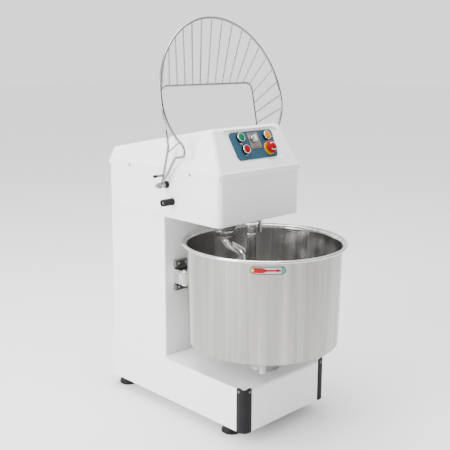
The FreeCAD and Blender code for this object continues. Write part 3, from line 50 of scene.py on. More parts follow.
JOINTS = {j["name"]: j for j in frame["joints"]}
MM = 0.001
TAU = 2 * math.pi


def middle(node):
    low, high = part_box(node)
    return (low + high) / 2


# ---- materials ----------------------------------------------------------
class Nodes:
    """A material's node tree, with short calls for the nodes that the materials share."""

    def __init__(self, name):
        self.material = bpy.data.materials.new(name)
        self.material.use_nodes = True
        self.tree = self.material.node_tree
        self.shader = self.tree.nodes["Principled BSDF"]
        self.place = self.add("ShaderNodeTexCoord").outputs["Object"]

    def add(self, kind, **values):
        node = self.tree.nodes.new(kind)
        for key, value in values.items():
            setattr(node, key, value)
        return node

    def link(self, source, target):
        self.tree.links.new(source, target)

    def scaled(self, scale):
        node = self.add("ShaderNodeVectorMath", operation="MULTIPLY")
        self.link(self.place, node.inputs[0])
        node.inputs[1].default_value = scale
        return node.outputs[0]

    def noise(self, scale, detail=3.0, rough=0.5):
        node = self.add("ShaderNodeTexNoise")
        node.inputs["Scale"].default_value = 1.0
        node.inputs["Detail"].default_value = detail
        node.inputs["Roughness"].default_value = rough
        self.link(self.scaled(scale), node.inputs["Vector"])
        return node.outputs["Fac"]

    def maths(self, operation, first, second):
        node = self.add("ShaderNodeMath", operation=operation)
        for socket, value in zip(node.inputs, (first, second)):
            if isinstance(value, (int, float)):
                socket.default_value = value
            else:
                self.link(value, socket)
        return node.outputs[0]

    def spread(self, source, low, high, start=0.3, end=0.7):
        node = self.add("ShaderNodeMapRange")
        self.link(source, node.inputs["Value"])
        for name, value in (("From Min", start), ("From Max", end), ("To Min", low), ("To Max", high)):
            node.inputs[name].default_value = value
        return node.outputs["Result"]

    def mixed(self, factor, first, second):
        node = self.add("ShaderNodeMix", data_type="RGBA")
        self.link(factor, node.inputs["Factor"])
        for socket, value in ((node.inputs["A"], first), (node.inputs["B"], second)):
            if isinstance(value, tuple):
                socket.default_value = (*value, 1.0)
            else:
                self.link(value, socket)
        return node.outputs["Result"]

    def blend(self, *parts):
        """Sum of (source, share) pairs."""
        total = None
        for source, share in parts:
            part = self.maths("MULTIPLY", source, share)
            total = part if total is None else self.maths("ADD", total, part)
        return total

    def bump(self, height, strength, depth):
        node = self.add("ShaderNodeBump")
        node.inputs["Strength"].default_value = strength
        node.inputs["Distance"].default_value = depth
        self.link(height, node.inputs["Height"])
        self.link(node.outputs["Normal"], self.shader.inputs["Normal"])


def tinted(color, share):
    return tuple(min(1.0, c * share) for c in color)


MATERIALS = {}


def finish_of(name, color, rough, metal=0.0, tint=0.05, patch=7.0, grain=900.0, bump=0.08, depth=0.0001,
              rough_spread=0.06, coat=0.0, streak=None, specular=0.5):
    """Painted, moulded or metal surface: patches of tint, a fine grain and roughness that wanders."""
    made = Nodes(name)
    shader = made.shader
    patches = made.noise((patch, patch, patch), 4.0)
    base = made.mixed(made.spread(patches, 0.0, 1.0), tinted(color, 1 - tint), tinted(color, 1 + tint))
    made.link(base, shader.inputs["Base Color"])
    fine = made.noise(streak or (grain, grain, grain), 4.0, rough=0.6)
    worn = made.blend((fine, 0.5), (patches, 0.5))
    made.link(made.spread(worn, rough - rough_spread, rough + rough_spread), shader.inputs["Roughness"])
    made.bump(fine, bump, depth)
    shader.inputs["Metallic"].default_value = metal
    shader.inputs["Coat Weight"].default_value = coat
    shader.inputs["Coat Roughness"].default_value = 0.15
    shader.inputs["Specular IOR Level"].default_value = specular
    MATERIALS[name] = made.material


def spun_steel(name, color, rough, streak):
    """Sheet steel spun on a lathe: fine rings round its axis, and soft upright bands of painted reflection, its
    colour made lighter and darker round the axis by streak.
    """
    made = Nodes(name)
    shader = made.shader
    rings = made.noise((0.6, 0.6, 2400.0), 4.0, rough=0.65)
    fine = made.noise((160.0, 160.0, 1.1), 3.0, rough=0.6)
    bands = made.noise((40.0, 40.0, 0.9), 4.0, rough=0.55)
    broad = made.noise((9.0, 9.0, 0.4), 2.0)
    # painted reflection: soft upright stripes of lighter and darker colour stand in for the room mirrored in the
    # steel
    bright = made.spread(made.blend((bands, 0.4), (fine, 0.2), (broad, 0.4)), 0.0, 1.0, 0.36, 0.64)
    painted_reflection_tone = made.mixed(bright, tinted(color, 1 - streak), tinted(color, 1 + streak))
    made.link(painted_reflection_tone, shader.inputs["Base Color"])
    worn = made.blend((rings, 0.5), (broad, 0.5))
    made.link(made.spread(worn, rough - 0.05, rough + 0.05), shader.inputs["Roughness"])
    made.bump(rings, 0.05, 0.00006)
    shader.inputs["Metallic"].default_value = 1.0
    shader.inputs["Anisotropic"].default_value = 0.35
    tangent = made.add("ShaderNodeTangent", direction_type="RADIAL", axis="Z")
    made.link(tangent.outputs[0], shader.inputs["Tangent"])
    MATERIALS[name] = made.material


# the slots of the record
finish_of("white_paint", (0.88, 0.88, 0.875), 0.38, tint=0.012, grain=1100.0, bump=0.06, coat=0.15)
finish_of("white_plastic", (0.87, 0.87, 0.865), 0.34, tint=0.012, grain=700.0, bump=0.05, coat=0.2)
finish_of("stainless", (0.74, 0.735, 0.73), 0.16, 1.0, 0.04, 9.0, bump=0.04, streak=(500.0, 500.0, 60.0))
finish_of("bright_steel", (0.36, 0.36, 0.36), 0.28, 1.0, 0.06, 20.0, bump=0.08, streak=(900.0, 900.0, 200.0))
finish_of("dark_steel", (0.28, 0.28, 0.285), 0.38, 1.0, 0.12, 30.0, bump=0.12)
finish_of("dark_iron", (0.10, 0.105, 0.11), 0.55, 0.3, 0.12, 25.0, grain=350.0, bump=0.35, depth=0.0004)
finish_of("chrome", (0.30, 0.30, 0.31), 0.16, 1.0, 0.05, 30.0, grain=500.0, bump=0.03)
finish_of("black_rubber", (0.009, 0.009, 0.010), 0.55, tint=0.2, patch=30.0, grain=800.0, bump=0.18,
          depth=0.0002, rough_spread=0.1, specular=0.18)
finish_of("black_plastic", (0.0035, 0.0035, 0.004), 0.34, tint=0.15, grain=1200.0, bump=0.12, specular=0.25)
finish_of("panel_blue", (0.022, 0.070, 0.104), 0.48, tint=0.05, grain=1600.0, bump=0.10, specular=0.18)
finish_of("silver_plate", (0.27, 0.235, 0.195), 0.36, 0.8, 0.05, 40.0, bump=0.08,
          streak=(60.0, 1800.0, 1800.0))
finish_of("white_knob", (0.50, 0.50, 0.50), 0.20, tint=0.02, coat=0.4)
for name, color, rough in (("button_green", (0.0015, 0.12, 0.055), 0.32),
                           ("button_red", (0.235, 0.0015, 0.004), 0.30),
                           ("button_yellow", (0.55, 0.165, 0.0012), 0.32),
                           ("estop_yellow", (0.50, 0.24, 0.0015), 0.36)):
    finish_of(name, color, rough, tint=0.04, grain=1500.0, specular=0.12)
finish_of("label_plastic", (0.80, 0.76, 0.66), 0.35, tint=0.02, grain=1500.0)
finish_of("nylon", (0.40, 0.40, 0.395), 0.42, tint=0.03, grain=900.0, bump=0.1)

# finishes of the visual model only
# the bowl's one steel in three copies of different brightness: painted shade on the outside, painted light on the
# inside and a painted highlight on the rim
spun_steel("bowl_outside_shaded", (0.325, 0.319, 0.31), 0.13, 0.30)
spun_steel("bowl_inside_lit", (0.66, 0.652, 0.64), 0.18, 0.50)
spun_steel("bowl_rim_highlight", (0.62, 0.615, 0.61), 0.10, 0.10)
finish_of("screw_steel", (0.16, 0.16, 0.165), 0.34, 1.0, 0.08, 30.0, bump=0.1)
finish_of("cast_paint", (0.42, 0.42, 0.415), 0.42, 0.2, 0.05, 30.0, grain=420.0, bump=0.3, depth=0.0003)
finish_of("mark_white", (0.62, 0.60, 0.60), 0.4, tint=0.02)
finish_of("mark_dark", (0.05, 0.05, 0.05), 0.5, tint=0.1)
finish_of("label_cream", (0.46, 0.35, 0.14), 0.4, tint=0.02, specular=0.25)
finish_of("label_pale", (0.42, 0.38, 0.40), 0.4, tint=0.02, specular=0.25)
finish_of("label_teal", (0.055, 0.27, 0.20), 0.4, tint=0.02, specular=0.25)
finish_of("label_edge", (0.022, 0.018, 0.016), 0.45, tint=0.05, specular=0.25)
finish_of("label_red", (0.26, 0.0025, 0.003), 0.4, tint=0.03, specular=0.25)
finish_of("polished_ring", (0.72, 0.72, 0.73), 0.18, 1.0, 0.04, 30.0, bump=0.04)
finish_of("tan_sleeve", (0.30, 0.19, 0.11), 0.4, tint=0.05)

RECORD_SLOTS = {s["node"]: s["material_slot"] for s in frame["record"]["subparts"]}
OWN_FINISH = {"bowl_spider": "cast_paint", "bowl_bearing_housing": "cast_paint", "casing_screws": "screw_steel"}
for name, node in NODES.items():
    node.data.materials.clear()
    node.data.materials.append(MATERIALS[OWN_FINISH.get(name, RECORD_SLOTS[name])])
    node.data.polygons.foreach_set("use_smooth", [True] * len(node.data.polygons))
    node.data.set_sharp_from_angle(angle=math.radians(32))


# ---- mesh helpers -------------------------------------------------------
class Shape:
    """A mesh put together from turned, drawn and extruded forms, each with its own material number."""

    def __init__(self):
        self.points = []
        self.faces = []
        self.numbers = []

    def add(self, points, faces, place=None, number=0):
        base = len(self.points)
        place = place or Matrix()
        self.points += [place @ Vector(p) for p in points]
        self.faces += [tuple(base + i for i in face) for face in faces]
        self.numbers += [number] * len(faces)
        return self

    def turn(self, outline, place=None, number=0, count=64, closed=False, wave=None):
        """Outline of (radius, height) points turned about Z; wave(angle, radius, height) may change a radius."""
        points = []
        rings = []
        for radius, height in outline:
            if radius < 1e-9:
                rings.append([len(points)] * count)
                points.append((0.0, 0.0, height))
                continue
            ring = []
            for i in range(count):
                angle = TAU * i / count
                r = wave(angle, radius, height) if wave else radius
                ring.append(len(points))
                points.append((r * math.cos(angle), r * math.sin(angle), height))
            rings.append(ring)
        faces = []
        pairs = list(zip(rings, rings[1:])) + ([(rings[-1], rings[0])] if closed else [])
        for lower, upper in pairs:
            for i in range(count):
                j = (i + 1) % count
                face = [lower[i], lower[j], upper[j], upper[i]]
                face = [v for k, v in enumerate(face) if v != face[k - 1]]
                if len(face) > 2:
                    faces.append(tuple(face))
        return self.add(points, faces, place, number)

    def draw(self, path, radius, number=0, sides=16, loop=False, place=None):
        """Round rod along a list of points. radius is one number, or one for each point."""
        path = [Vector(p) for p in path]
        radii = radius if isinstance(radius, (list, tuple)) else [radius] * len(path)
        count = len(path)
        normal = None
        points = []
        for i, point in enumerate(path):
            ahead = path[(i + 1) % count] if loop or i < count - 1 else point
            behind = path[i - 1] if loop or i > 0 else point
            along = (ahead - behind).normalized()
            if normal is None:
                normal = along.orthogonal().normalized()
            normal = (normal - along * normal.dot(along)).normalized()
            other = along.cross(normal)
            for k in range(sides):
                angle = TAU * k / sides
                points.append(point + (normal * math.cos(angle) + other * math.sin(angle)) * radii[i])
        faces = []
        for i in range(count if loop else count - 1):
            for k in range(sides):
                a = i * sides + k
                b = i * sides + (k + 1) % sides
                c = ((i + 1) % count) * sides
                faces.append((a, b, c + (k + 1) % sides, c + k))
        if not loop:
            faces.append(tuple(range(sides))[::-1])
            faces.append(tuple((count - 1) * sides + k for k in range(sides)))
        return self.add(points, faces, place, number)

    def block(self, outline, low, high, place=None, number=0):
        """Flat outline of (x, y) points raised from low to high."""
        count = len(outline)
        points = [(x, y, low) for x, y in outline] + [(x, y, high) for x, y in outline]
        faces = [tuple(range(count))[::-1], tuple(range(count, 2 * count))]
        faces += [(i, (i + 1) % count, count + (i + 1) % count, count + i) for i in range(count)]
        return self.add(points, faces, place, number)

    def piece(self, name, materials, body, slot, replaces=(), bevel=0.0, angle=35):
        mesh = bpy.data.meshes.new(name)
        mesh.from_pydata([tuple(p) for p in self.points], [], self.faces)
        for key in materials:
            mesh.materials.append(MATERIALS[key])
        mesh.polygons.foreach_set("material_index", self.numbers)
        mesh.polygons.foreach_set("use_smooth", [True] * len(mesh.polygons))
        mesh.validate()
        mesh.update()
        mesh.set_sharp_from_angle(angle=math.radians(angle))
        obj = bpy.data.objects.new(name, mesh)
        bpy.context.scene.collection.objects.link(obj)
        if bevel:
            edge = obj.modifiers.new("edges", "BEVEL")
            edge.width = bevel
            edge.segments = 2
            edge.limit_method = "ANGLE"
            edge.angle_limit = math.radians(40)
            edge.harden_normals = True
        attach(obj, body)
        if replaces:
            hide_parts(*replaces)
        return obj


def rounded(outline, radius, steps=4, closed=True):
    """Outline with each corner turned into an arc; radius is one number, or one for each corner."""
    count = len(outline)
    radii = radius if isinstance(radius, (list, tuple)) else [radius] * count
    made = []
    for i, corner in enumerate(outline):
        corner = Vector(corner)
        if radii[i] < 1e-9 or (not closed and i in (0, count - 1)):
            made.append(tuple(corner))
            continue
        back = (Vector(outline[i - 1]) - corner)
        ahead = (Vector(outline[(i + 1) % count]) - corner)
        turn = (math.pi - back.angle(ahead)) / 2
        reach = min(radii[i] * math.tan(turn), back.length * 0.49, ahead.length * 0.49)
        if reach < 1e-9:
            made.append(tuple(corner))
            continue
        first = corner + back.normalized() * reach
        last = corner + ahead.normalized() * reach
        for k in range(steps + 1):
            t = k / steps
            made.append(tuple(first * (1 - t) ** 2 + corner * (2 * t * (1 - t)) + last * t ** 2))
    return made


def ring_of(radius, count, start=0.0):
    return [(radius * math.cos(start + TAU * i / count), radius * math.sin(start + TAU * i / count))
            for i in range(count)]


def bar_shape(width, length, corner, x=0.0, y=0.0):
    w, h = width / 2, length / 2
    return rounded([(x - w, y - h), (x + w, y - h), (x + w, y + h), (x - w, y + h)], corner, 5)


def to_axis(point, direction):
    """Placement whose Z runs along a direction from a point."""
    turn = Vector(direction).to_track_quat("Z", "Y").to_matrix().to_4x4()
    return Matrix.Translation(Vector(point)) @ turn


# ---- bowl ---------------------------------------------------------------
BOWL_AXIS = middle("bowl")
bowl_low, bowl_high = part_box("bowl")
BOWL_PLACE = Matrix.Translation((BOWL_AXIS.x, BOWL_AXIS.y, 0))
RIM_R = (bowl_high.x - bowl_low.x) / 2
BEAD_R = 5.0 * MM
WALL_R = RIM_R - 16 * MM
FOOT_R = RIM_R - 20 * MM
WALL = 2.0 * MM
CORNER = 8.0 * MM
FLARE_H = 16 * MM
BOWL_FLOOR = bowl_low.z
BOWL_RIM = bowl_high.z


def bowl_wall(inset, steps=12):
    """Half section of the bowl's wall, from the middle of its floor up to the rolled rim."""
    corner = CORNER - inset
    centre = Vector((FOOT_R - CORNER, BOWL_FLOOR + CORNER))
    points = [(0.0, BOWL_FLOOR + inset)]
    points += [(centre.x * k / 8, BOWL_FLOOR + inset) for k in range(1, 8)]
    for k in range(steps + 1):
        angle = -math.pi / 2 + math.pi / 2 * k / steps
        points.append((centre.x + corner * math.cos(angle), centre.y + corner * math.sin(angle)))
    flare = BOWL_RIM - FLARE_H
    for k in range(1, 17):
        t = k / 16
        points.append((FOOT_R - inset + (WALL_R - FOOT_R) * t, centre.y + (flare - centre.y) * t))
    for k in range(1, 9):
        angle = math.pi / 2 * k / 8
        points.append((WALL_R - inset + 8 * MM * (1 - math.cos(angle)), flare + 11 * MM * math.sin(angle)))
    return points


bead_centre = Vector((RIM_R - BEAD_R, BOWL_RIM - BEAD_R))
outside = bowl_wall(0.0)
inside = bowl_wall(WALL)
bead = []
for k in range(17):
    angle = math.radians(-155 + 320 * k / 16)
    bead.append((bead_centre.x + BEAD_R * math.cos(angle), bead_centre.y + BEAD_R * math.sin(angle)))
shell = Shape().turn(outside, BOWL_PLACE, 0, 256)
shell.turn([outside[-1]] + bead + [inside[-1]], BOWL_PLACE, 2, 256)
shell.turn(inside[::-1], BOWL_PLACE, 1, 256)
# outside, inside and rim take the darker, lighter and highlight copies of the one steel, as painted light and
# shade
shell.piece("bowl_shell", ["bowl_outside_shaded", "bowl_inside_lit", "bowl_rim_highlight"], "bowl_turntable", "stainless", ["bowl"],
            angle=60)

# ---- direction plate on the bowl ----------------------------------------
label_mid = middle("direction_label")
label_low, label_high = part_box("direction_label")
LABEL_TURN = math.atan2(label_mid.y - BOWL_AXIS.y, label_mid.x - BOWL_AXIS.x)
LABEL_H = label_high.z - label_low.z
LABEL_L = 108 * MM
LABEL_Z = (label_low.z + label_high.z) / 2


def on_bowl(points, lift):
    """Flat label drawing laid on the bowl's side; across grows to the right as it is read."""
    radius = WALL_R + lift
    made = []
    for across, up in points:
        angle = LABEL_TURN + across / radius
        made.append((BOWL_AXIS.x + radius * math.cos(angle), BOWL_AXIS.y + radius * math.sin(angle),
                     LABEL_Z + up))
    return made


def label_layer(shape, left, right, height_at, lift, number, steps):
    """Part of the label between two places along it, as narrow upright strips."""
    low = []
    high = []
    for i in range(steps + 1):
        across = left + (right - left) * i / steps
        bottom, top = height_at(across)
        low.append((across, bottom))
        high.append((across, top))
    points = on_bowl(low, lift) + on_bowl(high, lift)
    points += on_bowl(low, lift - 0.25 * MM) + on_bowl(high, lift - 0.25 * MM)
    n = steps + 1
    faces = []
    for i in range(steps):
        faces.append((i, i + 1, n + i + 1, n + i))
        faces.append((2 * n + i, i, i + 1, 2 * n + i + 1)[::-1])
        faces.append((n + i, n + i + 1, 3 * n + i + 1, 3 * n + i))
    shape.add(points, faces, number=number)


def stadium_height(length, height):
    """Height of a plate with round ends, as a function of the place along it."""
    r = height / 2
    run = length / 2 - r

    def at(across):
        over = max(0.0, abs(across) - run)
        half = math.sqrt(max(r * r - over * over, 1e-12))
        return -half, half
    return at


LABEL_EDGE = 2.3 * MM
CREAM_END = 15 * MM
TEAL_END = 12 * MM
ARROW_START = -LABEL_L / 2 + 8 * MM
ARROW_L = 87 * MM


def arrow_at(across):
    """Red arrow with a fletched tail: half its height at a place along it."""
    t = (across - ARROW_START) / MM
    if t < 31:
        r = 8.0
    elif t < 44:
        r = 8.0 - 5.2 * (t - 31) / 13
    elif t < 73:
        r = 2.8
    else:
        r = max(0.05, 5.8 * (1 - (t - 73) / 14))
    return -r * MM, r * MM


label = Shape()
label_layer(label, -LABEL_L / 2, LABEL_L / 2, stadium_height(LABEL_L, LABEL_H), 0.7 * MM, 0, 80)
inner_at = stadium_height(LABEL_L - 2 * LABEL_EDGE, LABEL_H - 2 * LABEL_EDGE)
half = LABEL_L / 2 - LABEL_EDGE
label_layer(label, -half, -half + CREAM_END, inner_at, 0.82 * MM, 1, 30)
label_layer(label, -half + CREAM_END, half - TEAL_END, inner_at, 0.82 * MM, 2, 30)
label_layer(label, half - TEAL_END, half, inner_at, 0.82 * MM, 3, 30)
label_layer(label, ARROW_START, ARROW_START + ARROW_L, arrow_at, 0.95 * MM, 4, 87)
tail = ARROW_START - 0.1 * MM
notch = on_bowl([(tail, -6.5 * MM), (tail + 8 * MM, 0.0), (tail, 6.5 * MM)], 1.05 * MM)
label.add(notch, [(0, 1, 2)], number=1)
label.piece("direction_plate", ["label_edge", "label_cream", "label_pale", "label_teal", "label_red"],
            "bowl_turntable", "label_plastic", ["direction_label"], angle=60)

# ---- hook and breaker bar -----------------------------------------------
spindle = middle("hook_spindle")
hook_low, hook_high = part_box("hook")
HUB_BOTTOM = 606 * MM
FLANGE_BOTTOM = 622 * MM
HUB_R = 29 * MM
BOLT_RING_R = 31.2 * MM
BOLT_BOTTOM = 616.5 * MM
ROD_R = 14 * MM
COIL_R = 74 * MM
ARM_Z = HUB_BOTTOM - 34 * MM
LOW_Z = hook_low.z + ROD_R
HOOK_TURNS = 1.25
HOOK_START = math.radians(20)


def hook_line(t):
    """Centre line of the spiral, t from 0 under the hub to 1 at the tip."""
    angle = HOOK_START - TAU * HOOK_TURNS * t
    grow = min(1.0, t / 0.14)
    radius = COIL_R * (0.42 + 0.58 * math.sin(grow * math.pi / 2))
    shrink = max(0.0, (t - 0.86) / 0.14)
    radius *= 1 - 0.45 * shrink ** 1.6
    return Vector((radius * math.cos(angle), radius * math.sin(angle), ARM_Z + (LOW_Z - ARM_Z) * t ** 0.92))


def through(points, steps):
    """Smooth line through points."""
    made = []
    count = len(points)
    for i in range(count - 1):
        before, start = points[max(i - 1, 0)], points[i]
        end, after = points[i + 1], points[min(i + 2, count - 1)]
        for k in range(steps):
            t = k / steps
            made.append(0.5 * (2 * start + (end - before) * t + (2 * before - 5 * start + 4 * end - after) * t ** 2
                               + (3 * start - before - 3 * end + after) * t ** 3))
    made.append(points[-1])
    return made


rod = [Vector((0, 0, HUB_BOTTOM + 8 * MM)), Vector((0, 0, HUB_BOTTOM - 6 * MM))]
rod += [hook_line(i / 44) for i in range(45)]
rod = through(rod, 5)
radii = [ROD_R] * len(rod)
tip_way = (rod[-1] - rod[-3]).normalized()
for k in range(1, 9):
    angle = math.pi / 2 * k / 8
    rod.append(rod[-1 - (k - 1)] + tip_way * ROD_R * math.sin(angle) * 0.98)
    radii.append(max(ROD_R * math.cos(angle), 0.2 * MM))
HOOK_PLACE = Matrix.Translation((spindle.x, spindle.y, 0))
hook = Shape().draw(rod, radii, sides=32, place=HOOK_PLACE)
hub_outline = rounded([(0.0, HUB_BOTTOM), (26 * MM, HUB_BOTTOM), (HUB_R, HUB_BOTTOM + 3 * MM),
                       (HUB_R, FLANGE_BOTTOM), (34 * MM, FLANGE_BOTTOM + 3.5 * MM), (34 * MM, hook_high.z),
                       (0.0, hook_high.z)],
                      [0, 1.5 * MM, 1.2 * MM, 2 * MM, 1 * MM, 0.6 * MM, 0], closed=False)
hook.turn(hub_outline, HOOK_PLACE, count=96)
hook.piece("hook_spiral", ["stainless"], "hook_unit", "stainless", ["hook"], angle=50)
bolts = Shape()
for i in range(4):
    angle = math.radians(25 + 90 * i)
    place = Matrix.Translation((spindle.x + BOLT_RING_R * math.cos(angle),
                                spindle.y + BOLT_RING_R * math.sin(angle), BOLT_BOTTOM))
    bolts.turn(rounded([(0.0, 0.0), (2.6 * MM, 0.0), (2.6 * MM, 6 * MM), (0.0, 6 * MM)], 0.4 * MM, closed=False),
               place, count=24)
bolts.piece("hook_bolts", ["bright_steel"], "hook_unit", "bright_steel", angle=50)

bar_low, bar_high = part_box("breaker_bar")
bar_mid = middle("breaker_bar")
BAR_PLACE = Matrix.Translation((bar_mid.x, bar_mid.y, 0))
BAR_R = 17 * MM
GROOVE_R = BAR_R - 1.2 * MM
GROOVE_LOW = 633.5 * MM
GROOVE_HIGH = 638.5 * MM
BAR_BOLT_Z = 650 * MM
COLLAR_R = BAR_R + 6 * MM
COLLAR_LOW = 662.5 * MM
COLLAR_HIGH = 673.2 * MM
SPIGOT_R = 11 * MM
SPIGOT_LOW = 683.8 * MM
bar_outline = [(0.0, bar_low.z), (BAR_R, bar_low.z), (BAR_R, GROOVE_LOW), (GROOVE_R, GROOVE_LOW + MM),
               (GROOVE_R, GROOVE_HIGH - MM), (BAR_R, GROOVE_HIGH), (BAR_R, COLLAR_LOW),
               (COLLAR_R, COLLAR_LOW + 0.5 * MM), (COLLAR_R, COLLAR_HIGH - 0.3 * MM), (BAR_R, COLLAR_HIGH),
               (BAR_R, SPIGOT_LOW), (SPIGOT_R, SPIGOT_LOW + 0.1 * MM), (SPIGOT_R, bar_high.z),
               (0.0, bar_high.z)]
bar_outline = rounded(bar_outline, [0, 8 * MM, .3 * MM, .3 * MM, .3 * MM, .3 * MM, .4 * MM, 1.2 * MM, 1.2 * MM,
                                    .3 * MM, .3 * MM, 0, .6 * MM, 0], 6, False)
bar = Shape().turn(bar_outline, BAR_PLACE, count=96)
across = Vector((-1, -1, 0)).normalized()
bolt_mid = Vector((bar_mid.x, bar_mid.y, BAR_BOLT_Z))
for way in (1, -1):
    place = to_axis(bolt_mid + across * way * (BAR_R - 0.5 * MM), across * way)
    bar.turn(rounded([(0.0, 0.0), (8.6 * MM, 0.0), (8.6 * MM, 1.4 * MM), (0.0, 1.4 * MM)], 0.3 * MM, closed=False),
             place, 1, 40)
    bar.block(ring_of(7.6 * MM, 6), 1.4 * MM, 6.2 * MM, place, 1)
    bar.turn(rounded([(4.2 * MM, 6.2 * MM), (3.9 * MM, 6.5 * MM), (0.0, 6.5 * MM)], 0.2 * MM, closed=False),
             place, 1, 24)
bar.piece("bar_turned", ["stainless", "bright_steel"], "frame", "stainless", ["breaker_bar"], 0.35 * MM, 50)

# ---- control panel ------------------------------------------------------
OUT = -Vector(JOINTS["start_press"]["axis"]).normalized()
RIGHT = Vector((1, 0, 0))
UP = OUT.cross(RIGHT)


def on_face(node):
    """How far a control reaches across the panel, up it and out of it."""
    points = [v.co for v in NODES[node].data.vertices]
    spans = []
    for way in (RIGHT, UP, OUT):
        along = [p.dot(way) for p in points]
        spans.append((min(along), max(along)))
    return spans


FACE = on_face("control_panel")[2][1]
BUTTON_BORE = 8.0 * MM
STOP_BORE = 8.1 * MM
PLUNGER_R = 7.5 * MM


def face_place(across, up, out=0.0):
    turn = Matrix((RIGHT, UP, OUT)).transposed().to_4x4()
    return Matrix.Translation(RIGHT * across + UP * up + OUT * (FACE + out)) @ turn


def place_of(node):
    spans = on_face(node)
    return face_place(sum(spans[0]) / 2, sum(spans[1]) / 2)


def fluted(count, depth, sharp=1.0, when=lambda radius, height: True):
    """Radius change for turned grips: count shallow flutes round the edge."""
    def change(angle, radius, height):
        dip = (0.5 + 0.5 * math.cos(count * angle)) ** sharp
        return radius - depth * dip if when(radius, height) else radius
    return change


def control_back(shape, place, bore, size, depth, number):
    """Threaded shank, locking nut and contact block of a control, behind the panel."""
    shape.turn([(bore, -29 * MM), (11.0 * MM, -29 * MM), (11.0 * MM, 0.0), (bore, 0.0)], place, number, 40, True)
    shape.block(ring_of(14.8 * MM, 6), -14.0 * MM, -10.4 * MM, place, number)
    shape.block(bar_shape(size, size, 2 * MM), -depth, -28 * MM, place, number)


BUTTONS = (("start_button", "start_key", "button_green"), ("stop_button", "stop_key", "button_red"),
           ("jog_button", "jog_key", "button_yellow"))
sockets = Shape()
for node, body, colour in BUTTONS:
    place = place_of(node)
    cup = rounded([(BUTTON_BORE, 0.9 * MM), (12.2 * MM, 0.9 * MM), (12.2 * MM, 8.2 * MM), (13.8 * MM, 8.2 * MM),
                   (15.5 * MM, 7.4 * MM), (15.5 * MM, 0.0), (BUTTON_BORE, 0.0)],
                  [0, .3 * MM, .2 * MM, .2 * MM, .5 * MM, .3 * MM, 0], 3)
    sockets.turn(cup, place, 0, 64, True, fluted(40, 0.25 * MM))
    ring = rounded([(12.25 * MM, 7.6 * MM), (15.0 * MM, 7.6 * MM), (15.3 * MM, 8.6 * MM), (14.6 * MM, 9.9 * MM),
                    (13.1 * MM, 9.9 * MM), (12.25 * MM, 9.0 * MM)], 0.5 * MM, 4)
    sockets.turn(ring, place, 1, 72, True)
    control_back(sockets, place, BUTTON_BORE, 26 * MM, 49.5 * MM, 0)
    cap = rounded([(0.0, -17.5 * MM), (PLUNGER_R, -17.5 * MM), (PLUNGER_R, 5.6 * MM), (11.75 * MM, 5.6 * MM),
                   (11.75 * MM, 11.0 * MM), (9.6 * MM, 11.9 * MM), (0.0, 12.0 * MM)],
                  [0, .5 * MM, .3 * MM, .4 * MM, 1.3 * MM, 2.5 * MM, 0], 5, False)
    Shape().turn(cap, place, 0, 64).piece(node + "_cap", [colour], body, colour, [node])
sockets.piece("button_sockets", ["black_plastic", "polished_ring"], "frame", "black_plastic", ["button_bodies"],
              angle=40)

# ---- emergency stop -----------------------------------------------------
stop_place = place_of("estop_stem")
CAP_LOW = 9.6 * MM
HEAD_R = 20.6 * MM
DOME_TOP = 12.0 * MM
DOME_BALL = 44.0 * MM
ARC_R = 12.4 * MM
collar = Shape()
collar.turn(rounded([(STOP_BORE, 0.0), (22.0 * MM, 0.0), (21.6 * MM, 2.2 * MM), (20.3 * MM, 3.9 * MM),
                     (14.5 * MM, 3.9 * MM), (13.6 * MM, 3.0 * MM), (STOP_BORE, 3.0 * MM)],
                    [0, .4 * MM, .8 * MM, .9 * MM, .5 * MM, .4 * MM, 0], 4), stop_place, 0, 96, True)
control_back(collar, stop_place, STOP_BORE, 30 * MM, 53 * MM, 1)
collar.piece("estop_collar", ["estop_yellow", "black_plastic"], "frame", "estop_yellow", ["estop_body"], angle=40)


def dome(radius):
    """Height of the mushroom's domed top at a radius, above its flat underside."""
    return DOME_TOP - DOME_BALL + math.sqrt(DOME_BALL * DOME_BALL - radius * radius)


mushroom = Shape()
outline = [(4.2 * MM, -8.6 * MM), (PLUNGER_R, -8.6 * MM), (PLUNGER_R, 0.0), (16.0 * MM, 0.2 * MM),
           (HEAD_R - 0.8 * MM, 0.6 * MM), (HEAD_R, 1.8 * MM), (HEAD_R, 4.6 * MM), (HEAD_R - MM, dome(HEAD_R - MM))]
outline = rounded(outline, [0, 0, .5 * MM, 0, .8 * MM, .8 * MM, .8 * MM, .9 * MM], 4, False)
outline += [(r * MM, dome(r * MM)) for r in (18.6, 17.4, 16.0, 14.0, 12.0, 9.5, 7.0, 3.5, 0.0)]
flutes = fluted(16, 1.2 * MM, 3.0)


def edge_only(angle, radius, height):
    """Finger flutes that fade out where the side turns into the dome."""
    share = max(0.0, min(1.0, (radius - HEAD_R + 2.8 * MM) / (2.2 * MM)))
    return radius - (radius - flutes(angle, radius, height)) * share


cap_place = stop_place @ Matrix.Translation((0, 0, CAP_LOW))
mushroom.turn(outline, cap_place, 0, 256, wave=edge_only)
for start in (35, 215):
    rows = []
    for k in range(25):
        turn = math.radians(start + 100 * k / 24)
        half = 0.9 * MM if k < 18 else 2.4 * MM * (24 - k) / 6 + 0.05 * MM
        for r in (ARC_R - half, ARC_R + half):
            rows.append((r * math.cos(turn), r * math.sin(turn), dome(r) + 0.12 * MM))
    mushroom.add(rows, [(2 * k + 1, 2 * k, 2 * k + 2, 2 * k + 3)[::-1] for k in range(24)], cap_place, 1)
mushroom.piece("estop_cap", ["button_red", "mark_white"], "estop_head", "button_red", ["estop_mushroom"], angle=50)
pin = rounded([(0.0, -19.8 * MM), (PLUNGER_R, -19.8 * MM), (PLUNGER_R, -1.1 * MM), (3.9 * MM, -1.1 * MM),
               (3.9 * MM, 9.8 * MM), (0.0, 9.8 * MM)], 0.4 * MM, 3, False)
stem = Shape().turn(pin, stop_place, 0, 48)
stem.piece("estop_pin", ["bright_steel"], "estop_plunger", "bright_steel", ["estop_stem"])

